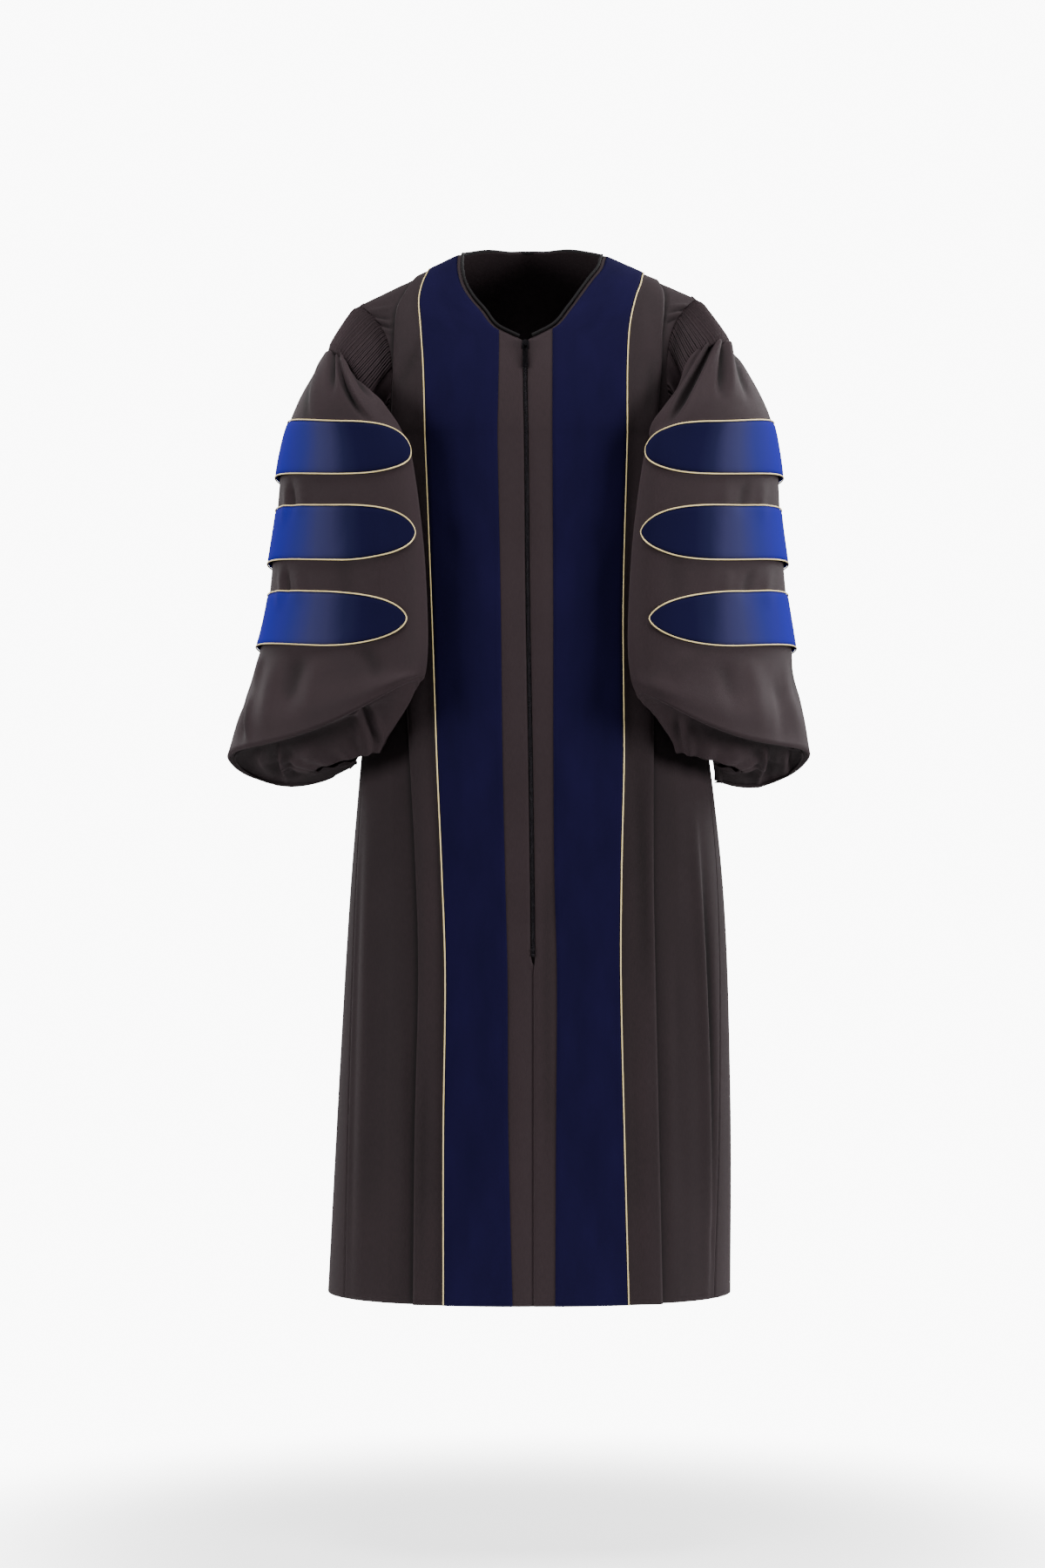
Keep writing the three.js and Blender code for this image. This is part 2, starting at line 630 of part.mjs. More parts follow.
function backGrid() {
  const lower = BACK_HEIGHTS.map((z) => BACK_COLUMNS.map((top) => backLowerPoint(top, z)));
  const upper = BACK_RISES.map((rise) => BACK_COLUMNS.map((top) => backUpperPoint(top, rise)));
  return [...lower, ...upper];
}

function addBack() {
  const grid = backGrid();
  const normals = gridNormals(grid, -1, false);
  const outer = lifted(grid, normals, () => WALL);
  addPiece('back', wallOf(outer, grid), 'cloth');
}

// Narrow binding along the whole neck edge, from one side of the zip round to the other.
function addNeckBinding() {
  const ways = [NECK_START + 1, 32, 35, 38.5, 42, 45.5, 49, 53, 57, 62, 67, 72, 78, 84, 90];
  const behind = [93.5, 97, 101, 105, 109, 113, 115.5];
  const stations = [-1, 1].map((side) => [...ways, ...behind].map((way) => ({ side, way })));
  const edge = [...stations[0], ...stations[1].reverse()];
  const points = edge.map(({ side, way }) => bodyPoint(side * neckX(side, way), way));
  const ups = edge.map(({ side, way }) => bodyNormal(side * neckX(side, way), way));
  const half = BINDING_WIDTH / 2 + 3 * GAP;
  const path = points.map((point, i) => {
    const before = points[Math.max(i - 1, 0)];
    const after = points[Math.min(i + 1, points.length - 1)];
    const inside = after.clone().sub(before).cross(ups[i]).normalize();
    const lift = (edge[i].way < 90 ? PANEL_LIFT : PANEL_LIFT / 2) + WALL;
    return point.clone().addScaledVector(inside, half).addScaledVector(ups[i], lift);
  });
  addPiece('neck_binding', cordOf(path, ups, BINDING_WIDTH / 2, BINDING_DEPTH / 2, 4), 'cloth');
}

// Ring of the sleeve at a ring number; turn 0 is outside, 90 in front, 180 inside.
function ringPoint(side, number, turn) {
  const twisted = radians(turn - ring.twist(number) * (1 - Math.cos(radians(turn))) / 2);
  const out = ring[`out${capitalName(side)}`](number);
  const c = Math.cos(twisted);
  const s = Math.sin(twisted);
  const blend = (a, b) => (a + b) / 2 + ((a - b) / 2) * c;
  const x = blend(out, ring.inX(number));
  const y = blend(ring.outY(number), ring.inY(number)) - ring.depth(number) * s;
  const rise = FOOT_RISE[sideName(side)] * (1 - THREE.MathUtils.smoothstep(number, 0, 1));
  const lift = ring.lift(number) + rise;
  const z = blend(ring.outZ(number), ring.inZ(number)) + lift * s + ring.crown(number) * s * s;
  return keptClear(new THREE.Vector3(side * x, y, z));
}

// Moves a sleeve point that would meet the body straight out from the body's middle line.
function keptClear(point) {
  const z = Math.min(point.z, UNDERARM);
  const power = section.round(z);
  const width = section[sideName(point.x)](z) + SLEEVE_CLEARANCE;
  const depth = (point.y < 0 ? section.front(z) : section.back(z)) + SLEEVE_CLEARANCE;
  const sum = Math.abs(point.x / width) ** power + Math.abs(point.y / depth) ** power;
  const reach = sum ** (1 / power);
  const level = THREE.MathUtils.smoothstep(-point.z, -CLEAR_FROM, -CLEAR_FULL);
  const scale = 1 + (Math.max(1 / reach, 1) - 1) * level;
  return new THREE.Vector3(point.x * scale, point.y * scale, point.z);
}

// One row of the body's armhole edge: its way, its point moved on by the seam's gap and raised
// under the arm, and the direction straight out of the cloth.
function armholeStop(way, edge, before, normal) {
  const on = edge.clone().sub(before);
  on.addScaledVector(normal, -on.dot(normal)).normalize();
  const point = edge.clone().addScaledVector(on, 2 * GAP);
  point.z += UNDERARM_RAISE * (1 - Math.sin(radians(way))) ** 3;
  return { way, point, normal };
}

// The armhole edge, row by row: up the side front, over the shoulder and down the back.
function armholeStops(side) {
  const front = sideFrontGrid(side);
  const frontNormals = gridNormals(front, side, false);
  const last = front[0].length - 1;
  const up = SIDE_WAYS.map((way, i) => (
    armholeStop(way, front[i][last], front[i][last - 1], frontNormals[i][last])
  )).filter((stop) => stop.way >= 0);
  const back = backGrid();
  const backNormals = gridNormals(back, -1, false);
  const column = side < 0 ? 0 : BACK_COLUMNS.length - 1;
  const down = [0, ...BACK_RISES].map((rise, k) => {
    const i = BACK_HEIGHTS.length - 1 + k;
    return armholeStop(backEdgeWay(rise), back[i][column], back[i][column - side], backNormals[i][column]);
  });
  return [...up, ...down.reverse()];
}

const armholes = { right: armholeStops(SIDES.right), left: armholeStops(SIDES.left) };

// Place on the armhole edge by the same turn as the rings.
function armholeAt(side, turn) {
  const over = THREE.MathUtils.euclideanModulo(90 - armholeTurn(turn) / 2, 180);
  const stops = armholes[sideName(side)];
  const after = stops.findIndex((stop) => stop.way > over);
  const b = stops[after < 0 ? stops.length - 1 : after];
  const a = stops[(after < 0 ? stops.length - 1 : after) - 1];
  const share = (over - a.way) / (b.way - a.way);
  const normal = a.normal.clone().lerp(b.normal, share).normalize();
  return { point: a.point.clone().lerp(b.point, share), normal };
}

function headPoint(side, turn, share) {
  const top = armholeAt(side, turn).point;
  const foot = ringPoint(side, 0, turn);
  return top.lerp(foot, share);
}

function headTurns() {
  const first = -FLUTED_TURN / 2;
  const fluted = Array.from({ length: 2 * FLUTES + 1 }, (_, k) => first + (FLUTED_TURN * k) / (2 * FLUTES));
  const step = (360 - FLUTED_TURN) / PLAIN_COLUMNS;
  const plain = Array.from({ length: PLAIN_COLUMNS - 1 }, (_, k) => -first + step * (k + 1));
  return [...fluted, ...plain];
}

function addHead(side) {
  const turns = headTurns();
  const lastRow = HEAD_ROWS.length - 1;
  const grid = HEAD_ROWS.map((share, i) => turns.map((turn) => {
    const room = i === lastRow ? HEAD_SEAM_ROOM * seamRoom(turn) : 0;
    return headPoint(side, turn, share - room);
  }));
  const next = turns.map((turn) => ringPoint(side, SLEEVE_ROWS[1], turn));
  const normals = gridNormals([...grid, next], side, true);
  normals[0] = turns.map((turn) => armholeAt(side, turn).normal);
  const lift = (i, j) => (i === 0 ? 0 : sleeveLift(turns[j]));
  const flute = (j) => (j < 2 * FLUTES && j % 2 === 1 ? FLUTE_HEIGHT * (1 - underArm(turns[j])) : 0);
  const inner = lifted(grid, normals, lift);
  const outer = lifted(grid, normals, (i, j) => lift(i, j) + WALL + flute(j) * HEAD_FLUTING[i]);
  addPiece(`sleeve_head_${sideName(side)}`, wallOf(outer, inner, true), 'cloth');
}

const sleeveTurns = Array.from({ length: SLEEVE_COLUMNS }, (_, j) => (360 * j) / SLEEVE_COLUMNS);

// Gathers below the fluted head die out above the first bar and towards the underarm; those at
// the wrist begin under the fold.
function gatherHeight(number, turn) {
  const outside = THREE.MathUtils.smoothstep(Math.cos(radians(turn)), -0.7, 0.2);
  const head = HEAD_GATHER * outside * (1 - THREE.MathUtils.smoothstep(number, 0.1, 1.5));
  const wrist = WRIST_GATHER * THREE.MathUtils.smoothstep(number, 7, 8.5);
  return (head + wrist) * (0.5 + 0.5 * Math.cos(GATHERS * radians(turn)));
}

const gathered = (i, j) => sleeveLift(sleeveTurns[j]) + gatherHeight(SLEEVE_ROWS[i], sleeveTurns[j]);

function sleeveGrid(side) {
  return SLEEVE_ROWS.map((number, i) => sleeveTurns.map((turn) => {
    const room = i === 0 ? SLEEVE_SEAM_ROOM * seamRoom(turn) : 0;
    return ringPoint(side, number + room, turn);
  }));
}

// Normals of the sleeve; its first row turns with the fluted head above it.
function sleeveNormals(side) {
  const above = sleeveTurns.map((turn) => headPoint(side, turn, HEAD_ABOVE_SEAM));
  return gridNormals([above, ...sleeveGrid(side)], side, true).slice(1);
}

function addSleeve(side) {
  const grid = sleeveGrid(side);
  const normals = sleeveNormals(side);
  const inner = lifted(grid, normals, gathered);
  const outer = lifted(grid, normals, (i, j) => gathered(i, j) + WALL);
  addPiece(`sleeve_${sideName(side)}`, wallOf(outer, inner, true), 'cloth');
}

// Point above the sleeve at a column, whole or part, and at a ring number between two of its rows.
function onSleeve(grid, normals, column, number, lift) {
  const above = SLEEVE_ROWS.findIndex((row) => row >= number);
  const i = Math.max(above - 1, 0);
  const share = (number - SLEEVE_ROWS[i]) / (SLEEVE_ROWS[i + 1] - SLEEVE_ROWS[i]);
  const first = Math.floor(column);
  const wrap = (j) => (j + SLEEVE_COLUMNS) % SLEEVE_COLUMNS;
  const at = (row, j) => grid[row][j].clone().addScaledVector(normals[row][j], gathered(row, j) + lift);
  const down = (j) => at(i, wrap(j)).lerp(at(i + 1, wrap(j)), share);
  return down(first).lerp(down(first + 1), column - first);
}

// Share of a bar's full height: straight along the middle, drawn in to a blunt point.
function barShare(bar, column) {
  const toTip = Math.min(bar.front - column, column - bar.back);
  const share = THREE.MathUtils.clamp(toTip / BAR_TIP_COLUMNS, 0, 1);
  return Math.max((1 - (1 - share) ** BAR_TIP_POWER) ** BAR_TIP_DRAW, BAR_TIP_LEAST);
}

function barColumns(bar) {
  const whole = Array.from({ length: bar.front - bar.back + 1 }, (_, k) => bar.back + k);
  return [...whole, bar.back + BAR_TIP_STEP, bar.front - BAR_TIP_STEP].sort((a, b) => a - b);
}

// Ring number that lies a length above (row -1) or below (row 1) a bar's middle line.
function barLevel(side, bar, column, row) {
  const turn = (360 * column) / SLEEVE_COLUMNS;
  const reach = bar.half * barShare(bar, column);
  const middle = ringPoint(side, bar.ring, turn);
  let step = 0.3;
  for (let pass = 0; pass < 4; pass += 1) {
    const measured = ringPoint(side, bar.ring + row * step, turn).distanceTo(middle);
    step *= reach / measured;
  }
  return bar.ring + row * step;
}

const BAR_ROWS = [-1, 0, 1];

function addBar(side, bar, number) {
  const grid = sleeveGrid(side);
  const normals = sleeveNormals(side);
  const columns = barColumns(bar);
  const lean = (column, row) => {
    const outside = Math.max(Math.cos((2 * Math.PI * column) / SLEEVE_COLUMNS), 0);
    return (BAR_LEAN * outside * (row + 1)) / 2;
  };
  const place = (column, row, lift) => {
    const level = row === 0 ? bar.ring : barLevel(side, bar, column, row);
    return onSleeve(grid, normals, column, level, lift + lean(column, row));
  };
  const face = (lift) => BAR_ROWS.map((row) => columns.map((column) => place(column, row, lift)));
  const name = `bar_${sideName(side)}_${number}`;
  addPiece(name, wallOf(face(BAR_LIFT + VELVET), face(BAR_LIFT)), 'bar');
  const edgeAt = (lift) => [...face(lift)[0], ...face(lift)[2].reverse()];
  addBarCord(side, name, edgeAt(BAR_LIFT), edgeAt(BAR_LIFT + 1));
}

// Gold cord round a bar, just outside its edge; the raised edge gives the way out from the sleeve.
function addBarCord(side, name, edge, raised) {
  const count = edge.length;
  const ups = edge.map((p, i) => raised[i].clone().sub(p).normalize());
  const path = edge.map((p, i) => {
    const along = edge[(i + 1) % count].clone().sub(edge[(i + count - 1) % count]).normalize();
    const away = along.cross(ups[i]).normalize().multiplyScalar(side);
    return p.clone().addScaledVector(away, CORD / 2 + 2 * GAP).addScaledVector(ups[i], CORD / 2);
  });
  addPiece(`${name}_cord`, cordOf(path, ups, CORD / 2, CORD / 2, 3, true), 'gold');
}

// Zip: tape behind the front edges, and the closed chain in the slit between them.
function zipRows(half) {
  const ways = FRONT_WAYS.filter((way) => way <= 15 && UNDERARM + way >= ZIP_END);
  return [ZIP_END - UNDERARM, ...ways, NECK_START - 2].map((way) => {
    const middle = frontLine.zip(way);
    return [-half, half].map((x) => bodyPoint(middle + x, way));
  });
}

function addZip() {
  const tape = zipRows(ZIP_TAPE_HALF);
  const tapeNormals = gridNormals(tape, 1, false);
  const tapeBack = lifted(tape, tapeNormals, () => -ZIP_TAPE_SINK);
  const tapeFront = lifted(tape, tapeNormals, () => WALL - ZIP_TAPE_SINK);
  addPiece('zip_tape', wallOf(tapeFront, tapeBack), 'tape');
  const chain = zipRows(ZIP_CHAIN_HALF);
  const chainNormals = gridNormals(chain, 1, false);
  const chainBack = lifted(chain, chainNormals, () => PANEL_LIFT);
  const chainFront = lifted(chain, chainNormals, () => PANEL_LIFT + WALL);
  addPiece('zip_chain', wallOf(chainFront, chainBack), 'tape');
}

function roundedPlate(width, length, corner) {
  const half = width / 2 - corner;
  const shape = new THREE.Shape();
  shape.absarc(half, -length + corner, corner, -Math.PI / 2, 0);
  shape.absarc(half, -corner, corner, 0, Math.PI / 2);
  shape.absarc(-half, -corner, corner, Math.PI / 2, Math.PI);
  shape.absarc(-half, -length + corner, corner, Math.PI, 1.5 * Math.PI);
  shape.closePath();
  return shape;
}

function extruded(shape, depth) {
  return new THREE.ExtrudeGeometry(shape, { depth, bevelEnabled: false, curveSegments: 3 });
}

// Slider plate with an arched bridge; its local Z stands out from the cloth.
function sliderGeometry() {
  const plate = extruded(roundedPlate(SLIDER.width, SLIDER.length, 2), SLIDER.thick);
  plate.translate(0, SLIDER.length / 2, 0);
  const arch = new THREE.Shape();
  const height = BRIDGE.clear + BRIDGE.top;
  const sunk = SLIDER.thick / 2;
  arch.moveTo(-BRIDGE.half, -sunk);
  arch.lineTo(-BRIDGE.half, height - 1);
  arch.lineTo(-BRIDGE.half + 1, height);
  arch.lineTo(BRIDGE.half - 1, height);
  arch.lineTo(BRIDGE.half, height - 1);
  arch.lineTo(BRIDGE.half, -sunk);
  arch.lineTo(BRIDGE.half - BRIDGE.leg, -sunk);
  arch.lineTo(BRIDGE.half - BRIDGE.leg, BRIDGE.clear);
  arch.lineTo(-BRIDGE.half + BRIDGE.leg, BRIDGE.clear);
  arch.lineTo(-BRIDGE.half + BRIDGE.leg, -sunk);
  arch.closePath();
  const bridge = extruded(arch, BRIDGE.width);
  bridge.translate(0, 0, -BRIDGE.width / 2);
  bridge.rotateY(-Math.PI / 2);
  bridge.rotateX(Math.PI / 2);
  bridge.translate(0, 0, SLIDER.thick);
  return joined(plate, bridge);
}

// Pull tab: a flat tab with a window, whose top bar passes under the bridge.
function pullGeometry() {
  const tab = roundedPlate(PULL.width, PULL.length, 1.6);
  const half = PULL.width / 2 - PULL.rail;
  const window = new THREE.Path();
  window.moveTo(-half, -PULL.bar);
  window.lineTo(half, -PULL.bar);
  window.lineTo(half, -PULL.bar / 2 - PULL.window);
  window.lineTo(-half, -PULL.bar / 2 - PULL.window);
  window.closePath();
  tab.holes.push(window);
  const geometry = extruded(tab, PULL.thick);
  geometry.translate(0, PULL.bar / 2, -PULL.thick / 2);
  return geometry;
}

function addSlider() {
  const way = SLIDER.way;
  const middle = frontLine.zip(way);
  const foot = bodyPoint(middle, way);
  const below = bodyPoint(middle, way - 6);
  const slope = Math.atan2(foot.y - below.y, foot.z - below.z);
  const mount = new THREE.Group();
  mount.position.copy(foot);
  mount.rotation.x = Math.PI / 2 - slope;
  const lift = PANEL_LIFT + WALL + SLIDER.lift;
  const slider = addPiece('zip_slider', sliderGeometry(), 'metal', mount);
  slider.position.z = lift;
  const pull = addPiece('zip_pull', pullGeometry(), 'metal', mount);
  pull.position.z = lift + SLIDER.thick + BRIDGE.clear / 2;
  pull.rotation.x = radians(PULL.lean);
  gown.add(mount);
}

for (const side of Object.values(SIDES)) {
  addFront(side);
  addSideFront(side);
  addFacing(side);
  addHead(side);
  addSleeve(side);
  BARS.forEach((bar, i) => addBar(side, bar, i + 1));
}
addBack();
addNeckBinding();
addZip();
addSlider();

export default gown;
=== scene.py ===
"""Looks of a doctoral graduation gown in its worn form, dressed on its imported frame.

Every cloth piece is a surface of two parameters on the same form as its solid. The forms are
worked out in millimetres and go into Blender in metres. +Z is up and the front faces -Y. Right
and left are the wearer's.
"""

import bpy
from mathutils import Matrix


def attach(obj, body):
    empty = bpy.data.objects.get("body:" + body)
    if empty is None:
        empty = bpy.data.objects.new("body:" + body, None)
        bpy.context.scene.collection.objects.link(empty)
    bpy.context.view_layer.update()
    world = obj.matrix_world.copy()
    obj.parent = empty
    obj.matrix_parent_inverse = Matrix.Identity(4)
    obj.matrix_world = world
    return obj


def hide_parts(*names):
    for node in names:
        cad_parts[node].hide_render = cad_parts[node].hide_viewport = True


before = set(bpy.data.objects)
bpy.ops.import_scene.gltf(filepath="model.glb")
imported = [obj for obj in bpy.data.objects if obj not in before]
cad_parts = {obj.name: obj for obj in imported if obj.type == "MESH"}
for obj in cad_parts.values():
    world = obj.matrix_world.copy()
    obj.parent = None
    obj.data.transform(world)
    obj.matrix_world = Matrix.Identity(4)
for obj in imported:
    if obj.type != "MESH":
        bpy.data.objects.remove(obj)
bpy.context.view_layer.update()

import logging
from dataclasses import dataclass
from enum import Enum

import bpy
import numpy as np
from numpy.typing import NDArray

Array = NDArray[np.float64]
Colour = tuple[float, float, float, float]
# Two values, mostly a low and a high one or one for each side, more values, and an x, y and z.
Pair = tuple[float, float]
Values = tuple[float, ...]
Place = tuple[float, float, float]
Socket = bpy.types.NodeSocket
Node = bpy.types.Node
Piece = bpy.types.Object
MM = 0.001
BODY = "gown"
# Shares of a crease's length over which it fades out.
CREASE_END = (0.55, 1.1)
# How fast the painted shade grows in a hollow, and how much painted light a ridge gets.
HOLLOW_POWER = 1.3
RIDGE_LIGHT = 0.22
# Scale at which a wave of stripes repeats once a metre.
STRIPE_SCALE = 0.314159
log = logging.getLogger("gown")


class Side(Enum):
    """One side of the gown, as the wearer has it."""

    RIGHT = -1
    LEFT = 1

    @property
    def label(self) -> str:
        """Name of the side as it stands in node names."""
        return self.name.lower()


class Hold(Enum):
    """How a sheet of cloth is held."""

    HUNG = "hung"
    GATHERED = "gathered"
    STRETCHED = "stretched"
    FOLDED = "folded"


class Ends(Enum):
    """How a crease begins: the shares of its length over which it fades in, softly or at a seam."""

    SOFT = (-0.12, 0.3)
    SEAM = (-0.2, 0.02)


def smoothstep(value: Array, low: float, high: float) -> Array:
    """Soft step: 0 below low, 1 above high, and t*t*(3-2t) between them.

    Args:
        value: Places to measure.
        low: Place where the step begins.
        high: Place where the step is full.

    Returns:
        The step's height at each place.
    """
    t = np.clip((value - low) / (high - low), 0.0, 1.0)
    return t * t * (3.0 - 2.0 * t)


def unit(vectors: Array) -> Array:
    """Vectors of length one in the same directions.

    Args:
        vectors: Array whose last axis holds x, y and z.

    Returns:
        The vectors, each divided by its length.
    """
    return vectors / np.maximum(np.linalg.norm(vectors, axis=-1, keepdims=True), 1e-9)


@dataclass(frozen=True)
class SmoothCurve:
    """Smooth curve through given points: a cubic in each span, with slopes from the neighbours."""

    at: Values
    value: Values

    def __call__(self, place: Array | float) -> Array:
        """Value of the curve, held level outside its ends.

        Args:
            place: Places along the curve.

        Returns:
            The curve's values there.
        """
        order = np.argsort(self.at)
        at, value = np.asarray(self.at, float)[order], np.asarray(self.value, float)[order]
        steps = np.arange(len(at))
        low, high = np.maximum(steps - 1, 0), np.minimum(steps + 1, len(at) - 1)
        slope = (value[high] - value[low]) / (at[high] - at[low])
        i = np.clip(np.searchsorted(at, place, side="right") - 1, 0, len(at) - 2)
        span = at[i + 1] - at[i]
        t = np.clip((np.asarray(place, float) - at[i]) / span, 0.0, 1.0)
        ends = (1 + 2 * t) * (1 - t) ** 2 * value[i] + t * t * (3 - 2 * t) * value[i + 1]
        bends = t * (1 - t) ** 2 * slope[i] + t * t * (t - 1) * slope[i + 1]
        return ends + bends * span


@dataclass(frozen=True)
class Crease:
    """Soft trough or ridge along a bowed line, seen straight from the front or the back.

    Its height is a bell across the line, times a rise and a fall along it. With a lean, one side of
    the bell is steeper than the other, as where a fold laps over its neighbour.
    """

    start: Pair
    end: Pair
    width: float
    depth: float
    bow: float = 0.0
    spread: float = 1.0
    ends: Ends = Ends.SOFT
    lean: float = 0.0

    def height(self, x: Array, z: Array) -> Array:
        """Height of the crease above the plain cloth.

        Args:
            x: Sideways places, in millimetres.
            z: Heights, in millimetres.

        Returns:
            Height in millimetres, less than nothing in a trough.
        """
        line = np.subtract(self.end, self.start)
        length = float(np.hypot(*line))
        along = ((x - self.start[0]) * line[0] + (z - self.start[1]) * line[1]) / length**2
        across = ((x - self.start[0]) * line[1] - (z - self.start[1]) * line[0]) / length
        inside = np.clip(along, 0.0, 1.0)
        across = across - self.bow * 4 * inside * (1 - inside)
        wide = self.width * (1 + (self.spread - 1) * inside) * (1 - self.lean * np.sign(across))
        bell = np.exp(-((across / wide) ** 2))
        fade_in = smoothstep(along, *self.ends.value)
        return self.depth * bell * fade_in * (1 - smoothstep(along, *CREASE_END))


def crease_table(*rows: tuple) -> tuple[Crease, ...]:
    """Creases from a short table.

    Args:
        rows: Start's x and z, end's x and z, then width, depth, bow, spread, ends and lean, as far as
            they are given.

    Returns:
        The creases, in the same order.
    """
    return tuple(Crease(row[:2], row[2:4], *row[4:]) for row in rows)


def creased(creases: tuple[Crease, ...], x: Array, z: Array) -> Array:
    """Sum of several creases at the same places.

    Args:
        creases: The creases laid over each other.
        x: Sideways places, in millimetres.
        z: Heights, in millimetres.

    Returns:
        Height of the cloth above its plain form, in millimetres.
    """
    return sum((crease.height(x, z) for crease in creases), np.zeros(np.broadcast(x, z).shape))


def hollowed(height: Array, full: float) -> Array:
    """Share of the painted shade that lies in a hollow, full at a given depth below the plain cloth.

    Args:
        height: Height of the folds, in millimetres.
        full: Depth at which the shade is full, in millimetres.

    Returns:
        Values from 1, full painted shade in a deep hollow, through 0 on the plain cloth to a little less,
        painted light, on a ridge.
    """
    hollow = np.clip(-height / full, 0.0, 1.0) ** HOLLOW_POWER
    return hollow - RIDGE_LIGHT * np.clip(height / full, 0.0, 1.0)


@dataclass
class Surface:
    """Grid of points, rows along a piece and columns across it, in millimetres.

    Its normals are the differences across times those along, turned to face out.
    """

    points: Array
    turned: int
    ringed: bool = False

    def normals(self) -> Array:
        """Directions straight out of the surface."""
        along = np.gradient(self.points, axis=0)
        if self.ringed:
            across = np.roll(self.points, -1, axis=1) - np.roll(self.points, 1, axis=1)
        else:
            across = np.gradient(self.points, axis=1)
        return unit(np.cross(across, along)) * self.turned

    def raised(self, lift: Array | float) -> "Surface":
        """The surface moved straight out.

        Args:
            lift: How far each point moves, in millimetres.

        Returns:
            A new surface of the same grid.
        """
        far = np.broadcast_to(lift, self.points.shape[:2])[..., None]
        return Surface(self.points + self.normals() * far, self.turned, self.ringed)

    def closed(self) -> Array:
        """Points of the grid, with the first column repeated last on a ring."""
        return np.concatenate([self.points, self.points[:, :1]], axis=1) if self.ringed else self.points

    def rim(self) -> Array:
        """Points round the edge of the grid, beginning with its first row."""
        grid = self.points
        return np.concatenate([grid[0], grid[1:-1, -1], grid[-1, ::-1], grid[-2:0:-1, 0]])

    def lengths(self) -> tuple[Array, Array]:
        """Lengths across and along the surface.

        Returns:
            Running length across each row, with the closing span on a ring, and running mean
            length along the rows, in millimetres.
        """
        ring = self.closed()
        wide = np.linalg.norm(np.diff(ring, axis=1), axis=-1)
        long = np.linalg.norm(np.diff(self.points, axis=0), axis=-1)
        across = np.concatenate([np.zeros((len(ring), 1)), np.cumsum(wide, axis=1)], axis=1)
        return across, np.concatenate([[0.0], np.cumsum(long.mean(axis=1))])

    def corners(self) -> tuple[NDArray[np.int64], NDArray[np.int64]]:
        """Row and column numbers of each face's four corners, wound to face out.

        Returns:
            Rows and columns, four to a face. The closing column of a ring has its own number.
        """
        rows, columns = self.points.shape[:2]
        spans = columns if self.ringed else columns - 1
        i, j = np.meshgrid(np.arange(rows - 1), np.arange(spans), indexing="ij")
        row = np.stack([i, i, i + 1, i + 1], axis=-1).reshape(-1, 4)
        column = np.stack([j, j + 1, j + 1, j], axis=-1).reshape(-1, 4)
        return (row, column) if self.turned > 0 else (row[:, ::-1], column[:, ::-1])

    def quads(self) -> NDArray[np.int64]:
        """Point numbers of the faces' corners."""
        row, column = self.corners()
        return row * self.points.shape[1] + column % self.points.shape[1]

    def corner_uv(self) -> Array:
        """Cloth lengths in metres at each face's corners, across and along."""
        across, along = self.lengths()
        row, column = self.corners()
        return np.stack([across[row, column], along[row]], axis=-1) * MM


def quad_object(name: str, points: Array, quads: NDArray[np.int64], corner_uv: Array) -> Piece:
    """New object at the origin from points in millimetres.

    Args:
        name: Name of the piece.
        points: Points, one to a row.
        quads: Four point numbers to each face.
        corner_uv: Two lengths in metres at each face's corners.

    Returns:
        The object, linked to the scene.
    """
    mesh = bpy.data.meshes.new(name)
    mesh.vertices.add(len(points))
    mesh.vertices.foreach_set("co", (points * MM).astype(np.float32).ravel())
    mesh.loops.add(quads.size)
    mesh.loops.foreach_set("vertex_index", quads.astype(np.int32).ravel())
    mesh.polygons.add(len(quads))
    mesh.polygons.foreach_set("loop_start", np.arange(0, quads.size, 4, dtype=np.int32))
    mesh.uv_layers.new(name="cloth").data.foreach_set("uv", corner_uv.astype(np.float32).ravel())
    mesh.update(calc_edges=True)
    mesh.validate()
    mesh.shade_smooth()
    made = bpy.data.objects.new(name, mesh)
    bpy.context.scene.collection.objects.link(made)
    return made


def surface_object(name: str, surface: Surface, thick: float = 0.0) -> Piece:
    """Object of a surface, given its thickness inwards.

    Args:
        name: Name of the piece.
        surface: Its outer face.
        thick: Thickness in millimetres, or nothing for a bare surface.

    Returns:
        The object.
    """
    made = quad_object(name, surface.points.reshape(-1, 3), surface.quads(), surface.corner_uv())
    if thick > 0:
        wall = made.modifiers.new("thickness", "SOLIDIFY")
        wall.thickness, wall.offset = thick * MM, -1.0
    return made


def point_values(piece: Piece, name: str, values: Array) -> None:
    """Keeps one value for each point of a piece, for its finish to read.

    Args:
        piece: The piece.
        name: Name of the values.
        values: One value for each point, in the order of its grid.
    """
    layer = piece.data.attributes.new(name, "FLOAT", "POINT")
    layer.data.foreach_set("value", np.asarray(values, np.float32).ravel())


def evenly(path: Array, ups: Array, step: float, closed: bool) -> tuple[Array, Array, Array]:
    """Path taken again at even steps along its length.

    Args:
        path: Points of the path, in millimetres.
        ups: Direction out of the cloth at each point.
        step: Length of a step, in millimetres.
        closed: Whether the path joins its own start.

    Returns:
        The new points, their directions, and the length run at each.
    """
    if closed:
        path, ups = np.vstack([path, path[:1]]), np.vstack([ups, ups[:1]])
    run = np.concatenate([[0.0], np.cumsum(np.linalg.norm(np.diff(path, axis=0), axis=1))])
    count = max(int(run[-1] / step), 8)
    at = np.linspace(0.0, run[-1], count, endpoint=not closed)
    points = np.stack([np.interp(at, run, path[:, k]) for k in range(3)], axis=1)
    out = unit(np.stack([np.interp(at, run, ups[:, k]) for k in range(3)], axis=1))
    return points, out, at


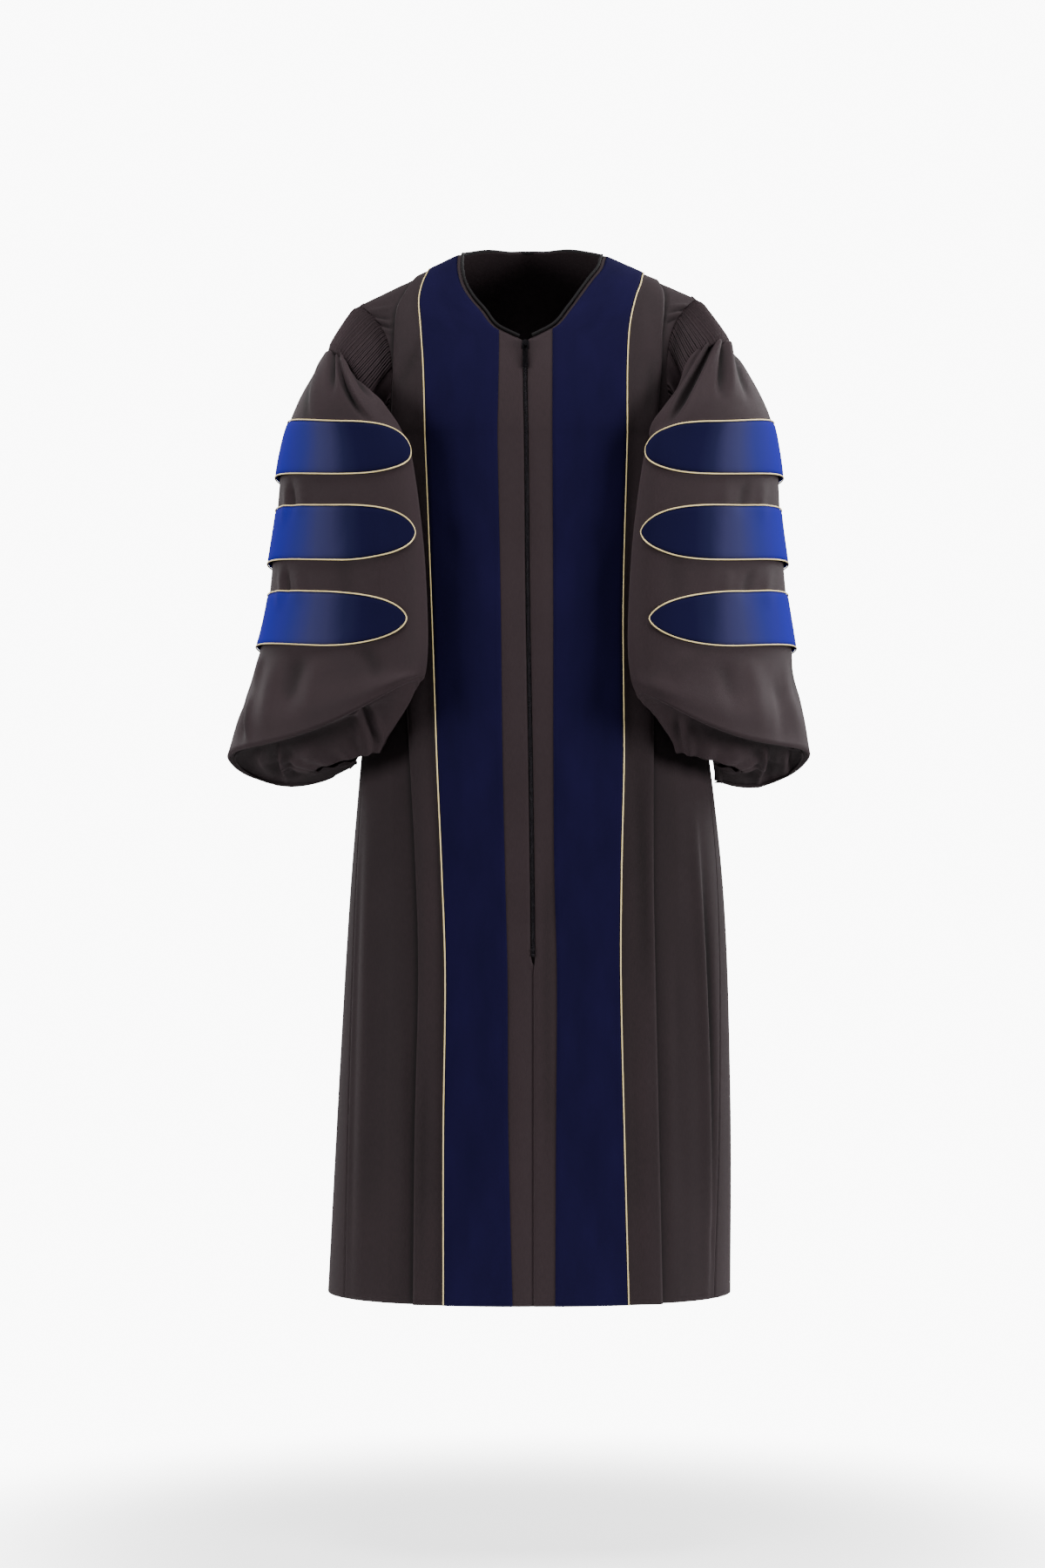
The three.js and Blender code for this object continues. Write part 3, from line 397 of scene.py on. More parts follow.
@dataclass(frozen=True)
class Cord:
    """Twisted cord along a path.

    Its section is a circle with one lobe to a strand, and the lobes turn evenly along the path.
    """

    radius: float = 0.85
    strands: int = 3
    twist: float = 11.0
    groove: float = 0.2
    sides: int = 10
    step: float = 1.25
    painted_light_span: Pair = (-0.5, 0.75)

    def surface(self, path: Array, ups: Array, closed: bool) -> Surface:
        """Surface of the cord: rows along the path and columns round it.

        Args:
            path: Points of the path, in millimetres.
            ups: Direction out of the cloth at each point.
            closed: Whether the path joins its own start.

        Returns:
            The cord's surface, with its first row repeated last on a closed path.
        """
        points, out, run = evenly(path, ups, self.step, closed)
        if closed:
            ahead = np.roll(points, -1, axis=0) - np.roll(points, 1, axis=0)
            turns = round((run[-1] + self.step) / self.twist)
            phase = 2 * np.pi * turns * np.arange(len(run)) / len(run)
        else:
            ahead = np.gradient(points, axis=0)
            phase = 2 * np.pi * run / self.twist
        across = unit(np.cross(unit(ahead), out))
        up = np.cross(across, unit(ahead))
        turn = 2 * np.pi * np.arange(self.sides) / self.sides
        lobe = np.abs(np.cos(self.strands * (turn[None, :] - phase[:, None]) / 2))
        radius = self.radius * (1 - self.groove + self.groove * lobe)
        ring = np.cos(turn)[None, :, None] * across[:, None, :] + np.sin(turn)[None, :, None] * up[:, None, :]
        grid = points[:, None, :] + radius[..., None] * ring
        return Surface(np.concatenate([grid, grid[:1]]) if closed else grid, -1, True)

    def shade(self, piece: Piece) -> None:
        """Keeps on each point the cord's painted light: full on top, with painted shade on the underside."""
        count = len(piece.data.vertices) // self.sides
        turn = 2 * np.pi * np.arange(self.sides) / self.sides
        point_values(piece, "bright", np.tile(smoothstep(np.sin(turn), *self.painted_light_span), count))


@dataclass(frozen=True)
class BodyForm:
    """Form that the gown's body hangs on, with the lines that the pieces are cut to.

    A place is given by x and by its way: below the underarm minus the millimetres under it, and
    above it the turn over the shoulder in degrees, 90 at the shoulder seam.
    """

    wall: float = 1.6
    gap: float = 0.3
    hem: float = -1262.0
    underarm: float = -230.0
    neck_point: Pair = (85.0, -6.0)
    shoulder_fall: float = 0.46
    shoulder_tilt: float = 0.02
    shoulder_y: float = 8.0
    shoulder_end: float = 204.0
    shoulder_wide: float = 206.0
    armhole_dip: float = 29.0
    underarm_raise: float = 4.0
    front_round: Pair = (1.7, 1.5)
    back_round: Pair = (1.9, 1.8)
    zip_edge: float = 2.5
    meet_edge: float = 0.5
    lap: float = 5.0
    zip_end: float = -850.0
    meet_span: Pair = (20.0, 2.0)
    binding: float = 3.0
    neck_start: float = 29.0
    neck_end: float = 117.0
    # Heights of the level sections, half widths right and left, depths, roundness and seam turn.
    section_z: Values = (-1262, -1030, -774, -500, -230)
    half_right: Values = (241, 229, 214, 192, 180)
    half_left: Values = (245, 245, 236, 206, 186)
    front_depth: Values = (170, 162, 153, 141, 128)
    back_depth: Values = (164, 152, 140, 126, 114)
    roundness: Values = (2.3, 2.35, 2.45, 2.55, 2.6)
    seam_turn: Values = (63, 67, 72, 80, 90)
    # Lines on the front by their way: zip, facing's edges and pleat edge on each side.
    line_way: Values = (-1032, -830, -640, -520, -380, -205, 0, 15, 29, 42, 57, 67, 78, 90)
    zip_line: Values = (6, 6, 6, 5, 3, 0, -2, -3, -3, -3, -3, -3, -3, -3)
    in_right: Values = (18, 23, 24, 27, 30, 32, 36, 35, 34, 34, 34, 34, 34, 34)
    out_right: Values = (98, 98, 96, 100, 106, 112, 120, 121, 123, 126, 129, 126, 120, 116)
    pleat_right: Values = (133, 131, 127, 130, 137, 147, 158, 158, 157, 157, 155, 147, 139, 133)
    in_left: Values = (32, 33, 34, 31, 30, 30, 29, 29, 29, 29, 29, 29, 29, 29)
    out_left: Values = (117, 112, 108, 109, 112, 111, 116, 116, 117, 120, 128, 134, 137, 139)
    pleat_left: Values = (156, 152, 148, 146, 146, 146, 149, 152, 156, 158, 162, 163, 160, 158)
    # Neck edge by its way, from the zip's top over the shoulder to the centre back, and the number
    # of the place that lies on the shoulder seam.
    neck_way: Values = (29, 35, 42, 49, 57, 67, 78, 90, 97, 105, 113, 117)
    neck_seam: int = 7
    neck_right: Values = (5, 36, 52, 66, 75.7, 80, 80, 78.5, 70, 47, 22, 0)
    neck_left: Values = (0, 31, 48, 61, 73, 85, 89, 90, 78, 50, 23, 0)

    def by_side(self, stem: str, side: Side, place: Array) -> Array:
        """Value of a line that each side has for itself.

        Args:
            stem: Line's name without the side.
            side: Side of the gown.
            place: Heights for the half widths, and ways for the other lines.

        Returns:
            Distance from the middle plane, in millimetres.
        """
        over = {"half": self.section_z, "neck": self.neck_way}.get(stem, self.line_way)
        return SmoothCurve(over, getattr(self, f"{stem}_{side.label}"))(place)

    def section(self, field: str, z: Array | float) -> Array:
        """Value of one of the level sections' sizes at a height."""
        return SmoothCurve(self.section_z, getattr(self, field))(z)

    def depth_at(self, z: Array, facing: Array | int) -> Array:
        """Depth of the body at a height, in front where facing is less than nothing, else behind."""
        return np.where(np.less(facing, 0), self.section("front_depth", z), self.section("back_depth", z))

    def zip_place(self, way: Array) -> Array:
        """Sideways place of the zip's middle line."""
        return SmoothCurve(self.line_way, self.zip_line)(way)

    def below_zip(self, z: Array) -> Array:
        """Share by which the fronts meet at a height: 0 beside the zip, 1 below its end."""
        return 1 - smoothstep(z, self.zip_end - self.meet_span[0], self.zip_end - self.meet_span[1])

    def half_width(self, x: Array, z: Array) -> Array:
        """Half width of the body at a height, on the side where x lies."""
        right = self.by_side("half", Side.RIGHT, z)
        return np.where(x < 0, right, self.by_side("half", Side.LEFT, z))

    def outline_depth(self, x: Array, z: Array, facing: Array | int, width: Array) -> Array:
        """Depth of the level outline, a rounded oval with powers of x and depth that add to one.

        Args:
            x: Sideways places.
            z: Heights.
            facing: -1 in front and 1 behind.
            width: Half width of the oval.

        Returns:
            Depth from the middle, in millimetres.
        """
        power = self.section("roundness", z)
        share = np.minimum(np.abs(x) / width, 1.0)
        return facing * self.depth_at(z, facing) * (1 - share**power) ** (1 / power)

    def outline_point(self, turn: Array, z: Array, side: Side) -> Array:
        """Point of the level outline by its turn: 0 at the centre front, 180 at the centre back."""
        power = 2 / self.section("roundness", z)
        facing = np.where(turn < 90, -1.0, 1.0)
        bend = np.radians(turn)
        x = side.value * self.by_side("half", side, z) * np.maximum(np.sin(bend), 0.0) ** power
        y = facing * self.depth_at(z, facing) * np.abs(np.cos(bend)) ** power
        return np.stack(np.broadcast_arrays(x, y, z), axis=-1)

    def rise(self, way: Array) -> Array:
        """Share of the height from underarm to shoulder: a power of the sine of the way."""
        power = np.where(way < 90, 2 / self.front_round[0], 2 / self.back_round[0])
        return np.maximum(np.sin(np.radians(np.clip(way, 0, 180))), 0.0) ** power

    def point(self, x: Array, way: Array) -> Array:
        """Point of the form: ovals below the underarm, and powers of sine and cosine above it.

        Args:
            x: Sideways places.
            way: Ways up the front and over the shoulder.

        Returns:
            Points in millimetres.
        """
        x, way = np.broadcast_arrays(np.asarray(x, float), np.asarray(way, float))
        z_low = self.underarm + np.minimum(way, 0.0)
        y_low = self.outline_depth(x, z_low, -1, self.half_width(x, z_low))
        behind = way >= 90
        depth_power = np.where(behind, 2 / self.back_round[1], 2 / self.front_round[1])
        rise = self.rise(way)
        near = np.abs(np.cos(np.radians(np.clip(way, 0, 180)))) ** depth_power
        foot_width = self.half_width(x, np.full(x.shape, self.underarm))
        width = foot_width + (self.shoulder_wide - foot_width) * rise
        foot = self.outline_depth(x, np.full(x.shape, self.underarm), np.where(behind, 1, -1), width)
        past_neck = np.abs(x) - self.neck_point[0]
        top = self.neck_point[1] - self.shoulder_fall * past_neck + self.shoulder_tilt * x
        y = np.where(way <= 0, y_low, self.shoulder_y + (foot - self.shoulder_y) * near)
        z = np.where(way <= 0, z_low, self.underarm + (top - self.underarm) * rise)
        return np.stack([x, y, z], axis=-1)

    def normal(self, x: Array, way: Array) -> Array:
        """Direction straight out of the form, from small steps across it and along it."""
        across = self.point(x + 0.5, way) - self.point(x - 0.5, way)
        along = self.point(x, way + 0.5) - self.point(x, way - 0.5)
        return unit(np.cross(across, along))

    def armhole(self, side: Side, way: Array) -> Array:
        """Distance of the armhole edge from the middle plane, dipping in at half its rise."""
        rise = self.rise(way)
        foot = self.by_side("half", side, np.full(np.shape(way), self.underarm))
        return foot + (self.shoulder_end - foot) * rise - 4 * self.armhole_dip * rise * (1 - rise)

    def front_edge(self, side: Side, way: Array) -> Array:
        """Free edge of a front panel: the zip's edge, the meeting edge below it, the neck above."""
        meet = self.meet_edge if side is Side.LEFT else -self.lap
        gap = self.zip_edge + (meet - self.zip_edge) * self.below_zip(self.underarm + way)
        line = self.zip_place(way) * side.value + gap
        return np.where(way > self.neck_start, np.maximum(self.by_side("neck", side, way), line), line)

    def facing_edges(self, side: Side, way: Array) -> tuple[Array, Array]:
        """Inner and outer edge of the velvet facing on the front."""
        room = self.front_edge(side, way) + self.binding + 2 * self.gap
        return np.maximum(self.by_side("in", side, way), room), self.by_side("out", side, way)


FORM = BodyForm()
# Ways of the fronts' rows, and how far each row has come towards the shoulder seam.
FRONT_WAYS = np.concatenate([np.linspace(-1032, 0, 130, endpoint=False), np.linspace(0, 89, 75)])
SHOULDER_SHARE = smoothstep(FRONT_WAYS, 45, 88)


def srgb(code: str) -> Colour:
    """Shader colour of a six-figure colour code.

    Args:
        code: Red, green and blue, two hexadecimal figures each.

    Returns:
        Linear red, green and blue, and full alpha.
    """
    parts = np.array([int(code[k : k + 2], 16) for k in (0, 2, 4)]) / 255
    linear = np.where(parts <= 0.04045, parts / 12.92, ((parts + 0.055) / 1.055) ** 2.4)
    return (float(linear[0]), float(linear[1]), float(linear[2]), 1.0)


def set_inputs(node: Node, values: dict[str, object]) -> None:
    """Sets constants on a node's own inputs.

    Args:
        node: The node.
        values: Constant of each input, by the input's title.
    """
    for title, value in values.items():
        node.inputs[title].default_value = value


@dataclass
class NodeDesk:
    """Small help to lay out shader nodes in one tree."""

    tree: bpy.types.NodeTree

    def add(self, kind: str, **values: object) -> Node:
        """New node with some of its own settings.

        Args:
            kind: Blender's name of the node type.
            values: Settings of the node.

        Returns:
            The node.
        """
        node = self.tree.nodes.new(kind)
        for key, value in values.items():
            setattr(node, key, value)
        return node

    def link(self, out: Socket, into: Socket) -> None:
        """Joins an output to an input."""
        self.tree.links.new(out, into)

    def math(self, kind: str, first: object, second: object) -> Socket:
        """Result of a sum on two values, each a socket or a number."""
        node = self.add("ShaderNodeMath", operation=kind)
        for socket, value in zip(node.inputs, (first, second)):
            if isinstance(value, Socket):
                self.link(value, socket)
            else:
                socket.default_value = value
        return node.outputs[0]

    def weighted(self, *parts: tuple[Socket, float]) -> Socket:
        """Sum of several values, each times its own weight."""
        total = self.math("MULTIPLY", *parts[0])
        for socket, weight in parts[1:]:
            total = self.math("ADD", total, self.math("MULTIPLY", socket, weight))
        return total

    def cloth_place(self) -> Socket:
        """Place on the cloth: metres across it and along it."""
        return self.add("ShaderNodeUVMap", uv_map="cloth").outputs[0]

    def kept_value(self, name: str) -> Socket:
        """Value that a piece keeps at its points."""
        return self.add("ShaderNodeAttribute", attribute_name=name).outputs["Fac"]

    def mapped(self, place: Socket, **values: object) -> Socket:
        """Place turned by a Rotation or stretched by a Scale."""
        mapping = self.add("ShaderNodeMapping")
        set_inputs(mapping, values)
        self.link(place, mapping.inputs["Vector"])
        return mapping.outputs["Vector"]

    def noise(self, place: Socket, scale: float, detail: float) -> Socket:
        """Cloudy value between 0 and 1 at a place."""
        node = self.add("ShaderNodeTexNoise")
        set_inputs(node, {"Scale": scale, "Detail": detail})
        self.link(place, node.inputs["Vector"])
        return node.outputs["Fac"]

    def stripes(self, place: Socket, pitch: float, turn: float, bend: float) -> Socket:
        """Even stripes of a pitch in metres, turned by an angle and slightly bent."""
        wave = self.add("ShaderNodeTexWave", wave_profile="SIN")
        set_inputs(wave, {"Scale": STRIPE_SCALE / pitch, "Distortion": bend, "Detail": 1.0})
        self.link(self.mapped(place, Rotation=(0.0, 0.0, turn)), wave.inputs["Vector"])
        return wave.outputs["Fac"]

    def blend(self, share: Socket, first: Colour, second: Colour) -> Socket:
        """Colour between two colours by a share."""
        mix = self.add("ShaderNodeMix", data_type="RGBA")
        mix.inputs[6].default_value, mix.inputs[7].default_value = first, second
        self.link(share, mix.inputs[0])
        return mix.outputs[2]


def effect_group(name: str) -> tuple[bpy.types.NodeTree, NodeDesk, Node]:
    """New shared effect that gives a shade and a height.

    Args:
        name: Name of the effect.

    Returns:
        The node group, a desk on it, and its output node.
    """
    tree = bpy.data.node_groups.new(name, "ShaderNodeTree")
    for title in ("Shade", "Height"):
        tree.interface.new_socket(title, in_out="OUTPUT", socket_type="NodeSocketFloat")
    desk = NodeDesk(tree)
    return tree, desk, desk.add("NodeGroupOutput")


def twill_effect(pitch: float) -> bpy.types.NodeTree:
    """Fine slanting ribs of a twill, with cloudy wear and short slubs along the yarn.

    Args:
        pitch: Distance between ribs, in metres.

    Returns:
        The shared effect.
    """
    tree, desk, out = effect_group("twill_weave")
    place = desk.cloth_place()
    ribs = desk.stripes(place, pitch, turn=0.9, bend=0.6)
    picks = desk.stripes(place, pitch * 0.7, turn=0.0, bend=0.4)
    slubs = desk.noise(desk.mapped(place, Scale=(900.0, 120.0, 1.0)), scale=1.0, detail=2.0)
    clouds = desk.noise(place, scale=9.0, detail=3.0)
    desk.link(desk.weighted((ribs, 0.34), (slubs, 0.4), (clouds, 0.4)), out.inputs["Shade"])
    desk.link(desk.weighted((ribs, 0.6), (picks, 0.2), (slubs, 0.5)), out.inputs["Height"])
    return tree


def nap_effect() -> bpy.types.NodeTree:
    """Short pile of a velvet: fine grain, and soft patches where the pile leans.

    Returns:
        The shared effect.
    """
    tree, desk, out = effect_group("velvet_nap")
    place = desk.cloth_place()
    grain = desk.noise(place, scale=900.0, detail=2.0)
    lean = desk.noise(desk.mapped(place, Scale=(1.0, 0.35, 1.0)), scale=26.0, detail=4.0)
    desk.link(desk.math("SUBTRACT", desk.weighted((grain, 0.35), (lean, 0.75)), 0.1), out.inputs["Shade"])
    desk.link(grain, out.inputs["Height"])
    return tree


def new_material(name: str) -> tuple[bpy.types.Material, NodeDesk, Node]:
    """New material with one shader.

    Args:
        name: Name of the material.

    Returns:
        The material, a desk on its nodes, and the shader.
    """
    made = bpy.data.materials.new(name)
    made.use_nodes = True
    return made, NodeDesk(made.node_tree), made.node_tree.nodes["Principled BSDF"]


@dataclass(frozen=True)
class Finish:
    """Colours and gloss that every finish has."""

    name: str
    dark: str
    light: str
    roughness: float
    sheen: float
    sheen_tint: str
    sheen_roughness: float
    bump: float
    relief: float
    specular: float = 0.15

    def shader(self) -> tuple[bpy.types.Material, NodeDesk, Node]:
        """New material with its shader's even values set on the shader's own sockets.

        Returns:
            The material, a desk on its nodes, and the shader.
        """
        made, desk, shader = new_material(self.name)
        set_inputs(shader, {
            "Roughness": self.roughness, "Sheen Weight": self.sheen, "Sheen Roughness": self.sheen_roughness,
            "Sheen Tint": srgb(self.sheen_tint), "Specular IOR Level": self.specular,
        })
        return made, desk, shader

    def bumped(self, desk: NodeDesk, height: Socket, shader: Node) -> None:
        """Joins a height to the shader's normal through a bump."""
        bump = desk.add("ShaderNodeBump")
        set_inputs(bump, {"Strength": self.bump, "Distance": self.relief * MM})
        desk.link(height, bump.inputs["Height"])
        desk.link(bump.outputs["Normal"], shader.inputs["Normal"])


@dataclass(frozen=True)
class WovenFinish(Finish):
    """Cloth whose weave shade and relief come from a shared effect, with painted shade in its valleys and
    painted light on its ridges, where its piece keeps valley values.
    """

    valley_shade: float = 1.2

    def material(self, effect: bpy.types.NodeTree) -> bpy.types.Material:
        """Material of the cloth.

        Args:
            effect: Shared effect with a shade and a height.

        Returns:
            The material.
        """
        made, desk, shader = self.shader()
        weave = desk.add("ShaderNodeGroup", node_tree=effect)
        # Kept valley values above nothing paint shade into the colour, and those below nothing paint light.
        valley = desk.math("MULTIPLY", desk.kept_value("valley"), self.valley_shade)
        shade = desk.math("SUBTRACT", weave.outputs["Shade"], valley)
        desk.link(desk.blend(shade, srgb(self.dark), srgb(self.light)), shader.inputs["Base Color"])
        self.bumped(desk, weave.outputs["Height"], shader)
        return made


@dataclass(frozen=True)
class ShadedVelvet(Finish):
    """Velvet with a painted sheen: it turns from a dark tip over a greyer band to a bright outer side, where
    the pile catches the light.
    """

    # Place along the bar, from the tip to the outer side, and the colour of the painted sheen there.
    stops: tuple[tuple[float, str], ...] = (
        (0.0, "0d0c26"), (0.2, "0f0e2a"), (0.29, "161732"), (0.37, "262644"), (0.46, "292a4d"),
        (0.6, "1f225f"), (0.81, "161576"), (1.0, "161578"),
    )
    unevenness: float = 0.08

    def material(self, effect: bpy.types.NodeTree) -> bpy.types.Material:
        """Material of a bar, by the place along it that its attribute gives.

        Args:
            effect: Shared effect with a shade and a height.

        Returns:
            The material.
        """
        made, desk, shader = self.shader()
        weave = desk.add("ShaderNodeGroup", node_tree=effect)
        uneven = desk.math("SUBTRACT", weave.outputs["Shade"], 0.5)
        # The outward place sets the painted sheen's colour, moved a little by the nap's uneven tone.
        moved = desk.weighted((desk.kept_value("outward"), 1.0), (uneven, self.unevenness))
        ramp = desk.add("ShaderNodeValToRGB")
        for k, (at, code) in enumerate(self.stops):
            stop = ramp.color_ramp.elements[k] if k < 2 else ramp.color_ramp.elements.new(at)
            stop.position, stop.color = at, srgb(code)
        desk.link(moved, ramp.inputs["Fac"])
        desk.link(ramp.outputs["Color"], shader.inputs["Base Color"])
        self.bumped(desk, weave.outputs["Height"], shader)
        return made


@dataclass(frozen=True)
class ThreadFinish(Finish):
    """Cord of lustrous thread with fine fibres along its twist."""

    metallic: float = 0.25
    fibres: float = 700.0

    def material(self) -> bpy.types.Material:
        """Material of the cord."""
        made, desk, shader = self.shader()
        set_inputs(shader, {"Metallic": self.metallic})
        place = desk.cloth_place()
        fibre = desk.stripes(place, 1.0 / self.fibres, turn=0.6, bend=1.0)
        wear = desk.noise(place, scale=60.0, detail=3.0)
        # The kept bright values paint light on the cord's top and shade on its underside; fibres and wear are
        # the thread's own tone.
        shade = desk.weighted((fibre, 0.25), (wear, 0.35), (desk.kept_value("bright"), 0.6))
        desk.link(desk.blend(shade, srgb(self.dark), srgb(self.light)), shader.inputs["Base Color"])
        self.bumped(desk, fibre, shader)
        return made


@dataclass(frozen=True)
class MetalFinish(Finish):
    """Dark plated metal with small rubbed patches."""

    def material(self) -> bpy.types.Material:
        """Material of the zip's metal."""
        made, desk, shader = self.shader()
        set_inputs(shader, {"Metallic": 1.0})
        rubbed = desk.noise(desk.add("ShaderNodeTexCoord").outputs["Object"], scale=420.0, detail=3.0)
        desk.link(desk.blend(rubbed, srgb(self.dark), srgb(self.light)), shader.inputs["Base Color"])
        desk.link(desk.math("ADD", desk.weighted((rubbed, 0.25)), 0.2), shader.inputs["Roughness"])
        self.bumped(desk, rubbed, shader)
        return made


CLOTH = WovenFinish(
    "charcoal_twill", dark="0c0708", light="261c1f", roughness=0.8, sheen=0.1, sheen_tint="8d8084",
    sheen_roughness=0.45, bump=0.5, relief=0.3,
)
BINDING = WovenFinish(
    "binding_twill", dark="030203", light="0d0b0c", roughness=0.8, sheen=0.04, sheen_tint="77727c",
    sheen_roughness=0.45, bump=0.3, relief=0.2,
)
TAPE = WovenFinish(
    "zip_webbing", dark="030303", light="0a090a", roughness=0.8, sheen=0.03, sheen_tint="66626a",
    sheen_roughness=0.5, bump=0.4, relief=0.25,
)
VELVET = WovenFinish(
    "navy_velvet", dark="08071b", light="140f31", roughness=0.95, sheen=0.06, sheen_tint="1c2a80",
    sheen_roughness=0.35, bump=0.2, relief=0.3, specular=0.04,
)
BAR_VELVET = ShadedVelvet(
    "blue_velvet", dark="02030f", light="050a2e", roughness=0.95, sheen=0.06, sheen_tint="2438b0",
    sheen_roughness=0.35, bump=0.2, relief=0.3, specular=0.04,
)
GOLD = ThreadFinish(
    "gold_thread", dark="3a2608", light="d8c48c", roughness=0.42, sheen=0.05, sheen_tint="fff2cc",
    sheen_roughness=0.4, bump=0.4, relief=0.2,
)
METAL = MetalFinish(
    "dark_plating", dark="080708", light="2a282b", roughness=0.35, sheen=0.0, sheen_tint="ffffff",
    sheen_roughness=0.5, bump=0.15, relief=0.1,
)


class Finishes:
    """All the gown's materials, made once and shared by its pieces."""

    def __init__(self, rib_pitch: float = 0.0011) -> None:
        """Makes the shared effects and the materials.

        Args:
            rib_pitch: Distance between the twill's ribs, in metres.
        """
        twill, nap = twill_effect(rib_pitch), nap_effect()
        self.cloth, self.binding, self.tape = (woven.material(twill) for woven in (CLOTH, BINDING, TAPE))
        self.velvet, self.bars = VELVET.material(nap), BAR_VELVET.material(nap)
        self.gold, self.metal = GOLD.material(), METAL.material()


@dataclass(frozen=True)
class Dressing:
    """What a new piece needs to join the gown: its finish, its slot and the node it stands for."""

    finish: bpy.types.Material
    slot: str
    nodes: tuple[str, ...]

    def put_on(self, piece: Piece) -> None:
        """Dresses a piece and lets it ride on the gown.

        Args:
            piece: The new piece.
        """
        piece.data.materials.append(self.finish)
        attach(piece, BODY)
        if self.nodes:
            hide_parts(*self.nodes)
        stands_for = ", ".join(self.nodes) or "-"
        log.info("%s: %d faces, stands for %s", piece.name, len(piece.data.polygons), stands_for)

    def hang(self, piece: Piece) -> None:
        """Args:
            piece: The cloth piece.
        """
        self.put_on(piece)


def turned_edges(share: Array, width: Array, roll: float, drop: float) -> Array:
    """Drop of a cloth face where its two long edges are turned under.

    Args:
        share: Place across the piece, from 0 to 1.
        width: Width of the piece, in millimetres.
        roll: Width of the rolled edge, in millimetres.
        drop: Drop at the very edge, in millimetres.

    Returns:
        Height in millimetres, less than nothing: a quarter round at each edge.
    """
    near = np.minimum(share, 1 - share) * width / roll
    return -drop * (1 - np.sqrt(np.clip(1 - (1 - np.clip(near, 0, 1)) ** 2, 0, 1)))


